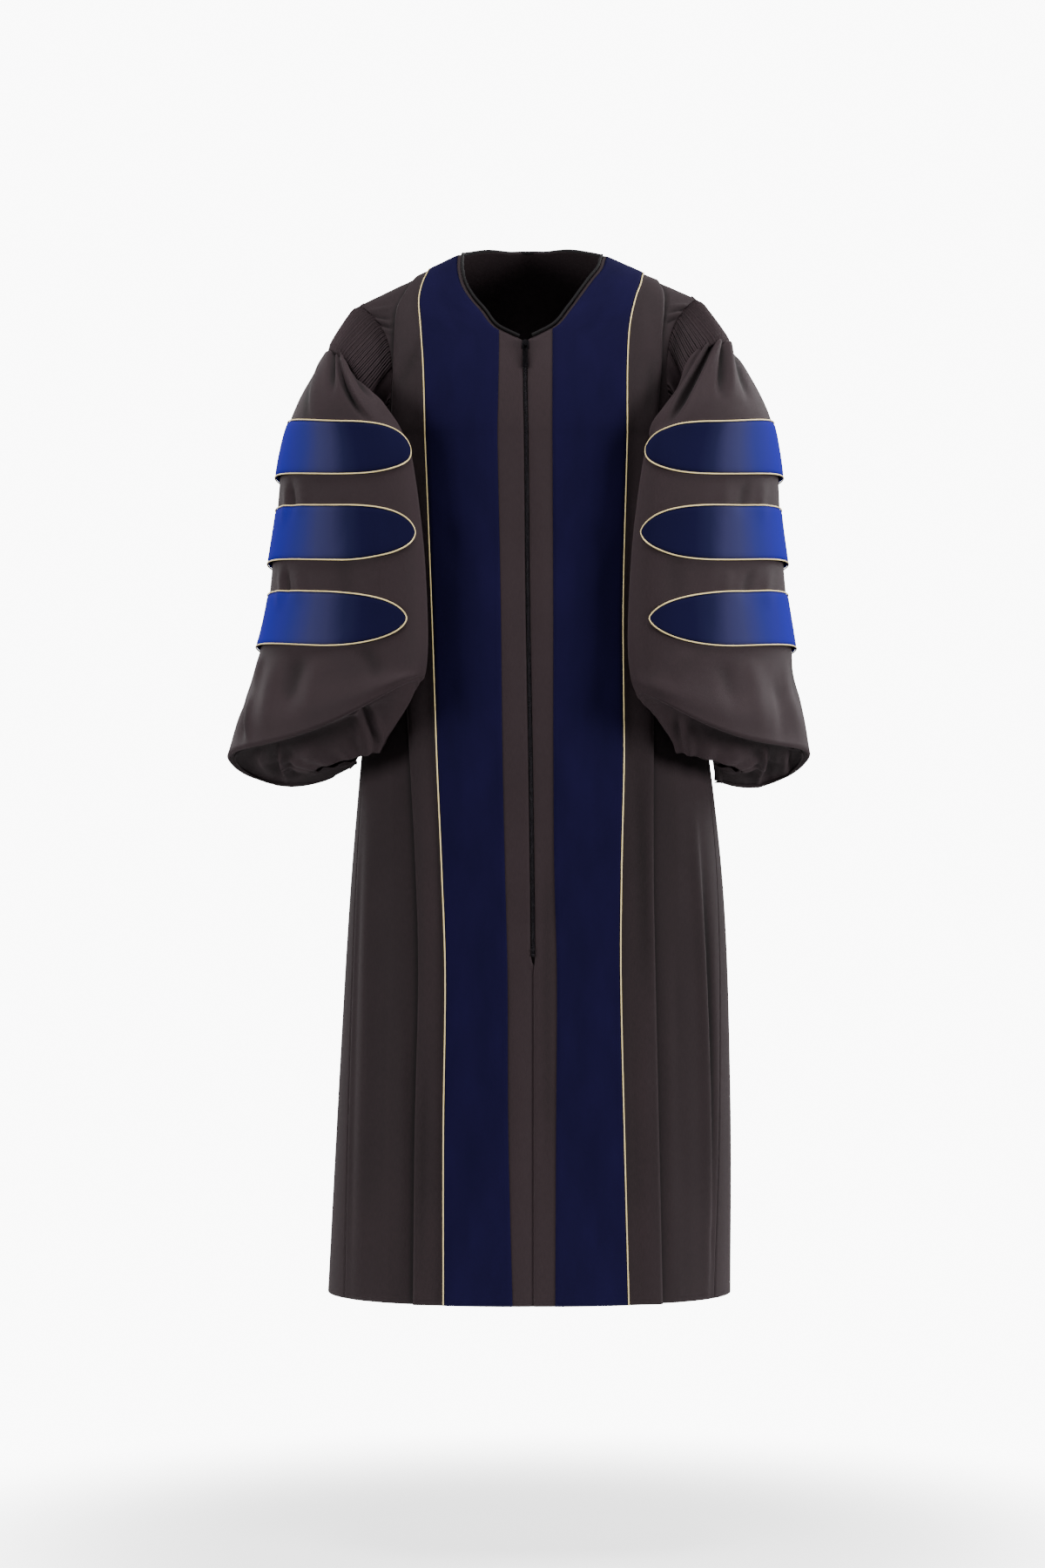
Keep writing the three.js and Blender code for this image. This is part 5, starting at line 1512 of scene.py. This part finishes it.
@dataclass(frozen=True)
class Sleeve:
    """One sleeve: fluted head, bell sleeve turned under to the wrist, and three velvet bars."""

    side: Side
    finishes: Finishes
    flutes: int = 100
    flute_height: float = 3.8
    fluted_turn: float = 344.0
    flute_steps: int = 6
    flute_fade: float = 9.0
    # Least and swinging share of a valley's depth, and how fast it swings from flute to flute.
    flute_uneven: Values = (0.65, 0.35, 2.6)
    # Head's rows: the allowance inside the armhole, the foot, and the allowance under the sleeve.
    head_rows: int = 22
    head_ends: Values = (-0.06, 1.02, 1.05)
    plain_columns: int = 8
    # Head's drop at the armhole, at its foot and in the allowance, with the shares where the first
    # ends, where its lift is full and where the second begins.
    head_drop: Values = (2.4, 1.8, 2.4)
    seam_share: float = 0.1
    lift_share: float = 0.2
    foot_share: float = 0.9
    # Head's thickness in parts of the wall, the painted shade in its valleys, and the painted light on its
    # flutes.
    head_thin: float = 0.6
    valley_edge: Pair = (0.05, 0.4)
    valley_shade: float = 1.35
    head_paler: float = 2.2
    # Sleeve's rows by ring number: first and last ring of each span, and its count.
    row_spans: tuple[tuple[float, float, int], ...] = (
        (0, 1.6, 46), (1.6, 5.2, 42), (5.2, 6, 18), (6, 6.8, 18), (6.8, 9, 24),
    )
    front_columns: int = 190
    back_columns: int = 70
    front_turns: Pair = (-10.0, 170.0)
    # Drop of the sleeve's top under the head, and the rings it runs over.
    top_drop: float = 4.0
    top_rings: Pair = (0.0, 0.09)
    # Folds in front and behind reach round the sides by a little more below the head.
    round_reach: float = 0.25
    round_rings: Pair = (1.2, 2.0)
    facing_span: Pair = (0.0, 0.45)
    # Rings over which the outer folds end, and those under the low fold begin and end.
    outer_end: Pair = (5.9, 6.15)
    under_start: Pair = (6.05, 6.6)
    under_end: Pair = (8.0, 9.0)
    # Gathers at the wrist: their number, how far and how often they sway, their depth and the
    # rings over which they grow.
    wrist_folds: tuple[int, int, int] = (11, 40, 3)
    wrist_depth: float = 1.6
    wrist_rings: Pair = (7.2, 8.8)
    # Fuller front above the low fold: its height, its ring, its reach, and where it faces.
    full: Values = (3.0, 5.6, 0.3)
    full_span: Pair = (0.0, 0.6)
    # Depth by which the cloth is tucked in under the low fold, and the rings of that.
    tuck: float = 7.0
    tuck_start: Pair = (6.0, 6.18)
    tuck_end: Pair = (7.0, 8.6)
    tuck_lost: float = 0.9
    # Painted shade: depth at which it is full, where the shaded lines show, and its loss under the fold.
    hollow: float = 7.0
    line_span: Pair = (-0.3, 0.1)
    line_end: Pair = (5.9, 6.1)
    under_light: float = 0.6
    under_rings: Pair = (6.0, 6.1)
    # Painted light: how much paler the sleeves are painted than the skirt, as they stand out in the light.
    paler: float = 0.26
    bar_gap: float = 0.9
    bar_velvet: float = 1.8
    bar_half: float = 32.0
    bar_lean: float = 4.0
    tip_turn: float = 66.0
    tip_power: float = 2.1
    tip_least: float = 0.015
    tip_sharp: Pair = (0.58, 0.66)
    bar_columns: int = 121
    bar_rows: int = 17
    # First guess in ring numbers of a bar's half width, and how often it is bettered.
    bar_guess: float = 0.3
    bar_rounds: int = 4
    bar_edge: Pair = (0.9, 1.0)
    bar_roll: float = 1.0
    bar_reach: float = 130.0
    # Cord's place out from a bar's edge and up from its under face.
    cord_out: float = 0.8
    cord_up: float = 1.3
    # Ring of each bar's middle line and the turns where its back and front tips lie.
    bars: tuple[Values, ...] = (
        (2, -138.5, 166.2), (3, -138.5, 152.3), (4, -124.6, 138.5),
    )

    @property
    def form(self) -> SleeveForm:
        """Form that this sleeve hangs on."""
        return SleeveForm(self.side)

    def front_creases(self) -> tuple[Crease, ...]:
        """Folds seen from the front: petals let out of the flutes, then long soft folds."""
        if self.side is Side.RIGHT:
            return crease_table(
                (-239, -118, -255, -210, 4.5, 2.6, 7, 1.6, Ends.SEAM, 0.5),
                (-232, -122, -232, -184, 2.6, -6.0, 1, 1.7, Ends.SEAM),
                (-229, -125, -221, -178, 2.8, 4.5, 0, 1.8, Ends.SEAM),
                (-227, -131, -190, -216, 2.4, -7.0, 8, 1.5, Ends.SEAM),
                (-222.5, -131, -184, -214, 4.5, 5.5, 8, 1.4, Ends.SEAM, 0.65),
                (-217, -139, -182, -194, 3.4, -6.5, 2, 2.0, Ends.SEAM),
                (-208, -150, -164, -212, 7.0, 3.0, -3.0, 1.3), (-290, -282, -288, -336, 4, 3.0, -2),
                (-283, -282, -280, -332, 3.4, -3.0, -2), (-274, -284, -264, -324, 6, 2.6, -3),
                (-296, -386, -294, -440, 4, 3.2, -2), (-289, -388, -285, -434, 3.4, -3.0, -2),
                (-278, -392, -266, -430, 6, 2.6, -3), (-318, -492, -324, -536, 4, 3.4, 2),
                (-330, -540, -331, -600, 4, 4.5, 2), (-336, -545, -340, -600, 5, -5.5, 1),
                (-268, -490, -284, -570, 13, -4.2, 3), (-302, -500, -310, -590, 9, 3.0, 3),
                (-240, -500, -256, -570, 13, 3.0, 4), (-196, -486, -176, -530, 10, -2.6, -4),
                (-214, -310, -206, -480, 14, -2.0, 5), (-180, -320, -176, -470, 12, 1.8, -4),
            )
        return crease_table(
            (208, -128, 162, -206, 2.2, -4.5, 1, 1.4, Ends.SEAM),
            (214, -121, 158, -226, 4.0, 4.0, -1, 1.5, Ends.SEAM),
            (221.5, -118, 163, -228, 2.5, -8.0, -2, 1.6, Ends.SEAM),
            (228, -115, 176, -228, 4.5, 5.0, -2, 1.7, Ends.SEAM, 0.4),
            (233.5, -115, 228, -188, 2.8, -6.5, 0, 2.0, Ends.SEAM),
            (240, -115, 243, -188, 4.0, 4.0, 0, 1.8, Ends.SEAM),
            (245, -117, 263, -190, 3.0, -5.0, 0, 1.8, Ends.SEAM), (284, -282, 276, -336, 6, 2.6, 3),
            (262, -286, 252, -330, 7, -2.4, 3), (240, -288, 228, -326, 8, 2.2, 3),
            (290, -388, 282, -438, 6, 2.8, 3), (268, -390, 256, -434, 7, -2.6, 3),
            (240, -392, 230, -430, 8, 2.2, 3), (318, -494, 312, -552, 7, -3.0, -4),
            (308, -500, 326, -600, 7, 3.4, 4), (292, -520, 300, -606, 8, -3.0, -3),
            (262, -500, 272, -590, 12, 3.0, -4), (226, -500, 240, -570, 12, -2.6, -4),
            (190, -490, 172, -530, 10, 2.4, 4), (216, -300, 208, -480, 14, 2.0, -5),
            (180, -320, 176, -470, 12, -1.8, 4),
        )

    def shaded_lines(self) -> tuple[Crease, ...]:
        """Strips of painted shade beside the sharpest folds, without any depth of their own."""
        if self.side is Side.RIGHT:
            return crease_table(
                (-246, -122, -266, -226, 3.2, -5.5, 4, 1.7, Ends.SEAM),
                (-331, -556, -338, -606, 5.0, -3.0, 0, 1.2),
            )
        return crease_table(
            (217, -121, 159, -230, 2.6, -4.0, -2, 1.5, Ends.SEAM),
            (233, -118, 229, -196, 3.4, -3.0, 0, 1.8, Ends.SEAM),
        )

    def under_creases(self) -> tuple[Crease, ...]:
        """Folds under the low fold, drawn in towards the wrist."""
        if self.side is Side.RIGHT:
            return crease_table(
                (-326, -606, -318, -634, 5, 4.0, 2), (-306, -604, -305, -646, 6, -7.5, 0),
                (-297, -600, -297, -646, 3.5, 5.5, 0), (-287, -602, -285, -644, 5, -4.5, 0),
                (-262, -596, -250, -640, 9, 2.6, 2), (-197, -548, -181, -612, 4.0, -5.0, -3),
                (-207, -556, -192, -614, 6.5, 3.4, -3), (-184, -556, -174, -612, 4, 2.4, -3),
            )
        return crease_table(
            (324, -608, 322, -632, 4, -4.5, 0), (313, -604, 316, -640, 4.5, 5.0, 0),
            (296, -602, 294, -648, 6, -7.5, 0), (284, -596, 284, -654, 3.5, 5.5, 0),
            (275, -600, 272, -644, 5, -4.0, 0), (248, -592, 238, -636, 9, 2.6, -2),
            (176, -566, 186, -620, 4.5, -4.5, 3), (188, -566, 196, -620, 6.5, 3.0, 3),
        )

    def back_creases(self) -> tuple[Crease, ...]:
        """Folds seen from behind, much as those in front."""
        flip = self.side.value
        plan = (
            (238, -116, 252, -196, 6, 5.0, Ends.SEAM), (230, -122, 234, -184, 4, -4.4, Ends.SEAM),
            (221, -128, 222, -190, 5, 4.6, Ends.SEAM), (211, -134, 208, -186, 4, -4.2, Ends.SEAM),
            (201, -140, 190, -194, 5, 4.4, Ends.SEAM), (190, -150, 176, -196, 4, -3.8, Ends.SEAM),
            (286, -270, 276, -336, 8, 3.0, Ends.SOFT), (268, -276, 258, -340, 7, -2.6, Ends.SOFT),
            (240, -290, 232, -420, 12, 2.6, Ends.SOFT), (206, -300, 198, -470, 12, -2.6, Ends.SOFT),
            (292, -376, 282, -440, 8, 3.0, Ends.SOFT), (272, -386, 264, -436, 7, -2.4, Ends.SOFT),
            (300, -480, 312, -590, 9, 3.2, Ends.SOFT), (276, -490, 284, -600, 9, -3.0, Ends.SOFT),
            (246, -480, 252, -600, 10, 2.6, Ends.SOFT), (212, -490, 218, -590, 10, -2.6, Ends.SOFT),
        )
        return tuple(
            Crease((flip * x0, z0), (flip * x1, z1), wide, deep, 3.0 * flip, 1.5, ends)
            for x0, z0, x1, z1, wide, deep, ends in plan
        )

    def fold_height(self, number: Array, turn: Array, points: Array) -> Array:
        """Height of the folds: front ones in front, back ones behind, and gathers at the wrist.

        Args:
            number: Ring numbers.
            turn: Turns round the rings.
            points: Points of the plain form there.

        Returns:
            Height in millimetres.
        """
        x, z = points[..., 0], points[..., 2]
        facing = np.sin(np.radians(turn))
        beyond = self.round_reach * smoothstep(number, *self.round_rings)
        front = creased(self.front_creases(), x, z) * smoothstep(facing + beyond, *self.facing_span)
        back = creased(self.back_creases(), x, z) * smoothstep(beyond - facing, *self.facing_span)
        below = smoothstep(number, *self.under_start) * (1 - smoothstep(number, *self.under_end))
        under = creased(self.under_creases(), x, z) * below
        folds, sway, often = self.wrist_folds
        uneven = np.cos(np.radians(folds * turn + sway * np.sin(np.radians(often * turn))))
        wrist = smoothstep(number, *self.wrist_rings) * self.wrist_depth * uneven
        outside = 1 - smoothstep(number, *self.outer_end)
        height, ring, reach = self.full
        full = height * np.exp(-(((number - ring) / reach) ** 2)) * smoothstep(facing, *self.full_span)
        tucked = smoothstep(number, *self.tuck_start) * (1 - smoothstep(number, *self.tuck_end))
        tucked = tucked * (1 - self.tuck_lost * self.form.inside_share(turn) ** 4)
        return (front + back) * outside + full - self.tuck * tucked + under + wrist

    def face(self, number: Array, turn: Array, ringed: bool, extra: Array | float = 0.0) -> Surface:
        """Outer face of the sleeve, folds and all, on any grid of ring numbers and turns.

        Args:
            number: Ring numbers, one to a row or one to a point.
            turn: Turns, one to a column or one to a point.
            ringed: Whether the last column joins the first.
            extra: More height above the cloth, in millimetres.

        Returns:
            The surface.
        """
        number, turn = np.broadcast_arrays(number, turn)
        plain = self.form.point(number, turn)
        across = self.form.point(number, turn + 0.5) - self.form.point(number, turn - 0.5)
        along = self.form.point(number + 0.01, turn) - self.form.point(number - 0.01, turn)
        out = unit(np.cross(across, along)) * self.side.value
        lift = self.form.cloth_lift(turn) + FORM.wall + self.fold_height(number, turn, plain) + extra
        return Surface(plain + out * np.broadcast_to(lift, number.shape)[..., None], self.side.value, ringed)

    def build_cloth(self) -> None:
        """Bell sleeve, from under the head's foot over the low fold and up to the wrist."""
        spans = [np.linspace(*span, endpoint=span is self.row_spans[-1]) for span in self.row_spans]
        number = np.concatenate(spans)[:, None]
        first, last = self.front_turns
        before = np.linspace(first, last, self.front_columns, endpoint=False)
        behind = np.linspace(last, first + 360, self.back_columns, endpoint=False)
        turn = np.concatenate([before, behind])[None, :]
        top = 1 - smoothstep(number, *self.top_rings)
        tucked = -self.top_drop * top * (1 - self.form.inside_share(turn))
        face = self.face(number, turn, True, tucked)
        piece = surface_object(f"sleeve_cloth_{self.side.label}", face, FORM.wall)
        plain = self.form.point(number, turn)
        folds = self.fold_height(*np.broadcast_arrays(number, turn), plain)
        # Painted shade in the folds' hollows and along the shaded lines, less under the low fold, and painted
        # light over the whole sleeve.
        shown = smoothstep(np.sin(np.radians(turn)), *self.line_span)
        shown = shown * (1 - smoothstep(number, *self.line_end))
        shaded = np.minimum(folds, creased(self.shaded_lines(), plain[..., 0], plain[..., 2]) * shown)
        share = hollowed(shaded, self.hollow)
        share = share * (1 - self.under_light * smoothstep(number, *self.under_rings))
        point_values(piece, "valley", share - self.paler)
        dressing = Dressing(self.finishes.cloth, "gown_cloth", (f"sleeve_{self.side.label}",))
        dressing.hang(piece)

    def build_head(self) -> None:
        """Fluted head: half-round flutes with sharp valleys, plain under the arm.

        A flute's height is the root of one less the square of the way from its middle.
        """
        half = self.fluted_turn / 2
        fluted = np.linspace(-half, half, self.flutes * self.flute_steps + 1)
        plain = np.linspace(half, 360 - half, self.plain_columns)[1:-1]
        turn = np.concatenate([fluted, plain])[None, :]
        inner, foot, outer = self.head_ends
        share = np.concatenate([[inner], np.linspace(0, foot, self.head_rows), [outer]])[:, None]
        share, turn = np.broadcast_arrays(share, turn)
        grid = Surface(self.form.head_point(share, turn), self.side.value, True)
        place = (turn + half) / self.fluted_turn * self.flutes
        round_top = np.sqrt(np.clip(1 - (2 * np.mod(place, 1.0) - 1) ** 2, 0, 1))
        least, swing, pace = self.flute_uneven
        valley = (1 - round_top) * (least + swing * np.cos(pace * np.round(place)))
        ends = smoothstep(half - np.abs(np.where(turn > 180, turn - 360, turn)), 0, self.flute_fade)
        at_seam, at_foot, past_foot = self.head_drop
        lift = self.form.cloth_lift(turn) * smoothstep(share, 0, self.lift_share) + FORM.wall
        lift = lift + self.flute_height * ((1 - valley) * ends - 0.5)
        lift = lift - at_seam * (1 - smoothstep(share, 0.0, self.seam_share))
        lift = lift - at_foot * smoothstep(share, self.foot_share, foot)
        lift = lift - past_foot * smoothstep(share, foot, outer)
        face = grid.raised(lift)
        piece = surface_object(f"fluted_head_{self.side.label}", face, FORM.wall * self.head_thin)
        # Painted shade in the flutes' valleys, and painted light over the whole head.
        shade = self.valley_shade * smoothstep(valley, *self.valley_edge) * ends
        point_values(piece, "valley", shade - self.head_paler * self.paler)
        dressing = Dressing(self.finishes.cloth, "gown_cloth", (f"sleeve_head_{self.side.label}",))
        dressing.hang(piece)

    def bar_grid(self, ring: float, back: float, front: float) -> tuple[Array, Array, Array]:
        """Ring numbers and turns of a bar: straight along its middle, drawn in to blunt tips.

        Args:
            ring: Ring number of the bar's middle line.
            back: Turn of its back tip.
            front: Turn of its front tip.

        Returns:
            Ring numbers, turns, and rows from -1 at the upper edge to 1 at the lower.
        """
        ease = np.linspace(0, 1, self.bar_columns)
        turn = (back + (front - back) * (0.5 - 0.5 * np.cos(np.pi * ease)))[None, :]
        to_tip = np.clip(np.minimum(front - turn, turn - back) / self.tip_turn, 0, 1)
        sharp = self.tip_sharp[self.side is Side.LEFT]
        share = np.maximum((1 - (1 - to_tip) ** self.tip_power) ** sharp, self.tip_least)
        row = np.linspace(-1, 1, self.bar_rows)[:, None]
        middle = self.form.point(np.full_like(turn, ring), turn)
        steps = []
        for way in (-1.0, 1.0):
            step = np.full_like(turn, self.bar_guess)
            for _ in range(self.bar_rounds):
                far = np.linalg.norm(self.form.point(ring + way * step, turn) - middle, axis=-1)
                step = step * self.bar_half * share / far
            steps.append(step)
        number = ring + row * np.where(row < 0, steps[0], steps[1])
        return number, np.broadcast_to(turn, number.shape), np.broadcast_to(row, number.shape)

    def build_bar(self, index: int) -> None:
        """Velvet bar on the sleeve, following its folds, and the gold cord round it.

        Args:
            index: Place of the bar in the table, from the upper one.
        """
        number, turn, row = self.bar_grid(*self.bars[index])
        outside = np.maximum(np.cos(np.radians(turn)), 0)
        seat = self.bar_gap + self.bar_lean * outside * (row + 1) / 2
        edge = -self.bar_roll * smoothstep(np.abs(row), *self.bar_edge)
        face = self.face(number, turn, False, seat + self.bar_velvet + edge)
        name = f"bar_{self.side.label}_{index + 1}"
        piece = surface_object(f"velvet_{name}", face, self.bar_velvet)
        # How far out along the bar each point lies, 0 near a tip and 1 outside, which sets the bar's painted
        # sheen.
        point_values(piece, "outward", 1 - np.clip(np.abs(turn) / self.bar_reach, 0, 1))
        dressing = Dressing(self.finishes.bars, "bar_velvet", (name,))
        dressing.hang(piece)
        self.build_piping(name, self.face(number, turn, False, seat), face)

    def build_piping(self, name: str, low: Surface, face: Surface) -> None:
        """Gold cord round a bar, just outside its edge.

        Args:
            name: Node name of the bar.
            low: Under face of the bar.
            face: Outer face of the bar.
        """
        edge = low.rim()
        ups = unit(face.rim() - edge)
        along = np.roll(edge, -1, axis=0) - np.roll(edge, 1, axis=0)
        away = unit(np.cross(along, ups)) * self.side.value
        path = edge + away * self.cord_out + ups * self.cord_up
        cord = Cord(radius=0.9, strands=2, twist=6.0, groove=0.14)
        piece = surface_object(f"piping_{name}", cord.surface(path, ups, closed=True))
        cord.shade(piece)
        Dressing(self.finishes.gold, "gold_cord", (f"{name}_cord",)).put_on(piece)

    def build(self) -> None:
        """Builds the pieces of this sleeve."""
        self.build_head()
        self.build_cloth()
        for index in range(len(self.bars)):
            self.build_bar(index)


@dataclass(frozen=True)
class Zip:
    """Front zip: woven tape behind the slit, its teeth, two stops, and the metal slider and pull."""

    finishes: Finishes
    tape_half: float = 13.0
    tape_face: float = 0.8
    tape_thick: float = 1.4
    tooth_lift: float = 2.7
    pitch: float = 1.5
    tooth: Values = (2.3, 1.0, 1.3)
    tooth_sway: float = 0.7
    tooth_fill: float = 1.08
    # Stops: their way above the zip's lower end, half length, height above the form and radius.
    stop_ways: Pair = (1.5, 7.5)
    stop_half: float = 2.4
    stop_lift: float = 4.4
    stop_radius: float = 0.9

    def line(self, count: int) -> tuple[Array, Array]:
        """Ways and middle places along the zip, from its lower end to the slider."""
        way = np.linspace(FORM.zip_end - FORM.underarm, FORM.neck_start - 2, count)
        return way, FORM.zip_place(way)

    def build_tape(self) -> None:
        """Tape: the body's form between two lines beside the zip."""
        way, middle = self.line(160)
        x = middle[:, None] + np.linspace(-self.tape_half, self.tape_half, 15)[None, :]
        face = Surface(FORM.point(x, way[:, None]), 1).raised(self.tape_face)
        piece = surface_object("zip_webbing_tape", face, self.tape_thick)
        dressing = Dressing(self.finishes.tape, "zip_tape", ("zip_tape",))
        dressing.hang(piece)

    def build_teeth(self) -> None:
        """Teeth: one eight-sided bar to each, leaning out from the middle by turns left and right."""
        way, middle = self.line(700)
        centre, ups = FORM.point(middle, way), FORM.normal(middle, way)
        points, out, _ = evenly(centre, ups, self.pitch / 2, closed=False)
        ahead = unit(np.gradient(points, axis=0))
        across = unit(np.cross(ahead, out))
        sway = np.where(np.arange(len(points)) % 2 == 0, 1.0, -1.0)[:, None]
        points = points + across * sway * self.tooth_sway + out * self.tooth_lift
        turn = np.pi / 8 + np.arange(8) * np.pi / 4
        wide, high, tall = self.tooth
        ring = np.stack([np.cos(turn) * high, np.sin(turn) * tall], axis=1) / 2 * self.tooth_fill
        ends = np.array([-wide / 2, wide / 2])
        grid = (
            points[:, None, None] + ends[None, :, None, None] * across[:, None, None]
            + ring[None, None, :, :1] * ahead[:, None, None] + ring[None, None, :, 1:] * out[:, None, None]
        )
        k = np.arange(8)
        sides = np.stack([k, (k + 1) % 8, (k + 1) % 8 + 8, k + 8], axis=1)
        first_cap = [[0, 3, 2, 1], [0, 5, 4, 3], [0, 7, 6, 5]]
        last_cap = [[8, 9, 10, 11], [8, 11, 12, 13], [8, 13, 14, 15]]
        one = np.concatenate([sides, first_cap, last_cap])
        quads = (one[None] + (16 * np.arange(len(points)))[:, None, None]).reshape(-1, 4)
        uv = np.zeros((len(quads), 4, 2))
        piece = quad_object("zip_teeth", grid.reshape(-1, 3), quads, uv)
        Dressing(self.finishes.metal, "zip_tape", ("zip_chain",)).put_on(piece)

    def build_stop(self) -> None:
        """Metal stops at the zip's lower end: two small rounded staples across the slit."""
        way = FORM.zip_end - FORM.underarm + np.array(self.stop_ways)
        middle = FORM.zip_place(way)
        turn = np.linspace(0, 2 * np.pi, 12, endpoint=False)
        reach = np.linspace(-1, 1, 9)
        across = np.array([self.stop_half, 0.0, 0.0])
        centre = FORM.point(middle, way) + FORM.normal(middle, way) * self.stop_lift
        bow = (1 - reach**4) ** 0.5
        tube = np.stack([0 * turn, -np.sin(turn), np.cos(turn)], axis=1) * self.stop_radius
        for name, place in zip(("zip_stop_lower", "zip_stop_upper"), centre):
            grid = place + reach[:, None, None] * across + bow[:, None, None] * tube[None]
            piece = surface_object(name, Surface(grid, 1, True))
            Dressing(self.finishes.metal, "zip_metal", ()).put_on(piece)

    def build(self) -> None:
        """Builds the zip's pieces and dresses the slider and the pull."""
        self.build_tape()
        self.build_teeth()
        self.build_stop()
        for name in ("zip_slider", "zip_pull"):
            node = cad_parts[name]
            node.data.materials.clear()
            node.data.materials.append(self.finishes.metal)
            log.info("%s: kept from the frame", name)


@dataclass(frozen=True)
class Light:
    """Soft square light: its place and the length of its side in metres, and its power in watts."""

    name: str
    place: Place
    size: float
    power: float

    def build(self, aim: Place) -> None:
        """Sets the light up.

        Args:
            aim: Place that it is turned to, in metres.
        """
        data = bpy.data.lights.new(self.name, "AREA")
        data.size, data.energy = self.size, self.power
        light = bpy.data.objects.new(self.name, data)
        light.location = self.place
        track = np.array(aim) - np.array(self.place)
        yaw = np.arctan2(track[1], track[0]) - np.pi / 2
        pitch = np.arctan2(track[2], np.hypot(track[0], track[1])) + np.pi / 2
        light.rotation_euler = (pitch, 0.0, yaw)
        bpy.context.scene.collection.objects.link(light)


@dataclass(frozen=True)
class Studio:
    """Plain pale floor, soft light and the camera at the photograph's angle."""

    camera_place: Place = (-0.0064, -5.25, -0.6466)
    half_height: float = 0.954
    floor_z: float = -1.57
    floor_reach: float = 1.1
    floor_grid: tuple[int, int] = (12, 64)
    floor_shade: Colour = (0.9, 0.9, 0.9, 1.0)
    floor_fade: Values = (1.6, 1.85, 1.0, 0.0)
    floor_glow: float = 1.2
    ambient: float = 0.25
    backdrop: float = 10.0
    white: Colour = (1.0, 1.0, 1.0, 1.0)
    chest: Place = (0.0, 0.0, -0.5)
    lights: tuple[Light, ...] = (
        Light("key", (4.2, -2.1, 0.1), 1.6, 370.0),
        Light("fill", (-4.2, -2.2, 0.0), 1.6, 285.0),
        Light("top", (0.0, -0.9, 2.7), 1.6, 165.0),
        Light("rear", (3.2, 2.6, 1.2), 2.0, 210.0),
        Light("rear_fill", (-2.6, 3.4, 0.6), 2.0, 90.0),
    )

    def build_camera(self) -> None:
        """Level camera whose half height at the gown sets its lens."""
        data = bpy.data.cameras.new("camera")
        data.sensor_width = 36.0
        data.lens = data.sensor_width / 2 * -self.camera_place[1] / self.half_height
        data.clip_end = 100.0
        camera = bpy.data.objects.new("camera", data)
        camera.location = self.camera_place
        camera.rotation_euler = (np.pi / 2, 0.0, 0.0)
        bpy.context.scene.collection.objects.link(camera)
        bpy.context.scene.camera = camera

    def build_floor(self) -> None:
        """Round pale floor under the hem that melts away into the white room."""
        rows, columns = self.floor_grid
        reach = np.linspace(0.0005, self.floor_reach, rows)[:, None] / MM
        turn = np.linspace(0, 2 * np.pi, columns, endpoint=False)[None, :]
        level = np.full(self.floor_grid, self.floor_z / MM)
        face = Surface(np.stack([reach * np.cos(turn), reach * np.sin(turn), level], axis=-1), -1, True)
        floor = surface_object("floor", face)
        made, desk, shader = new_material("pale_floor")
        set_inputs(shader, {
            "Base Color": self.floor_shade, "Roughness": 0.9,
            "Emission Color": self.white, "Emission Strength": self.floor_glow,
        })
        away = desk.add("ShaderNodeVectorMath", operation="LENGTH")
        desk.link(desk.add("ShaderNodeTexCoord").outputs["Object"], away.inputs[0])
        fade = desk.add("ShaderNodeMapRange", interpolation_type="SMOOTHSTEP")
        set_inputs(fade, dict(zip(("From Min", "From Max", "To Min", "To Max"), self.floor_fade)))
        desk.link(away.outputs["Value"], fade.inputs["Value"])
        desk.link(fade.outputs["Result"], shader.inputs["Alpha"])
        floor.data.materials.append(made)

    def build(self) -> None:
        """Builds the studio."""
        self.build_camera()
        self.build_floor()
        world = bpy.data.worlds.new("white_room")
        world.use_nodes = True
        desk = NodeDesk(world.node_tree)
        seen = desk.add("ShaderNodeLightPath").outputs["Is Camera Ray"]
        strength = desk.math("ADD", desk.math("MULTIPLY", seen, self.backdrop - self.ambient), self.ambient)
        ground = world.node_tree.nodes["Background"]
        set_inputs(ground, {"Color": self.white})
        desk.link(strength, ground.inputs["Strength"])
        bpy.context.scene.world = world
        for light in self.lights:
            light.build(self.chest)


def main() -> None:
    """Builds the gown piece by piece, then the studio."""
    logging.basicConfig(level=logging.INFO, format="%(message)s")
    finishes = Finishes()
    Studio().build()
    for side in Side:
        Front(side, finishes).build()
    Back(finishes).build()
    NeckBinding(finishes).build()
    for side in Side:
        Sleeve(side, finishes).build()
    Zip(finishes).build()


if __name__ == "__main__":
    main()
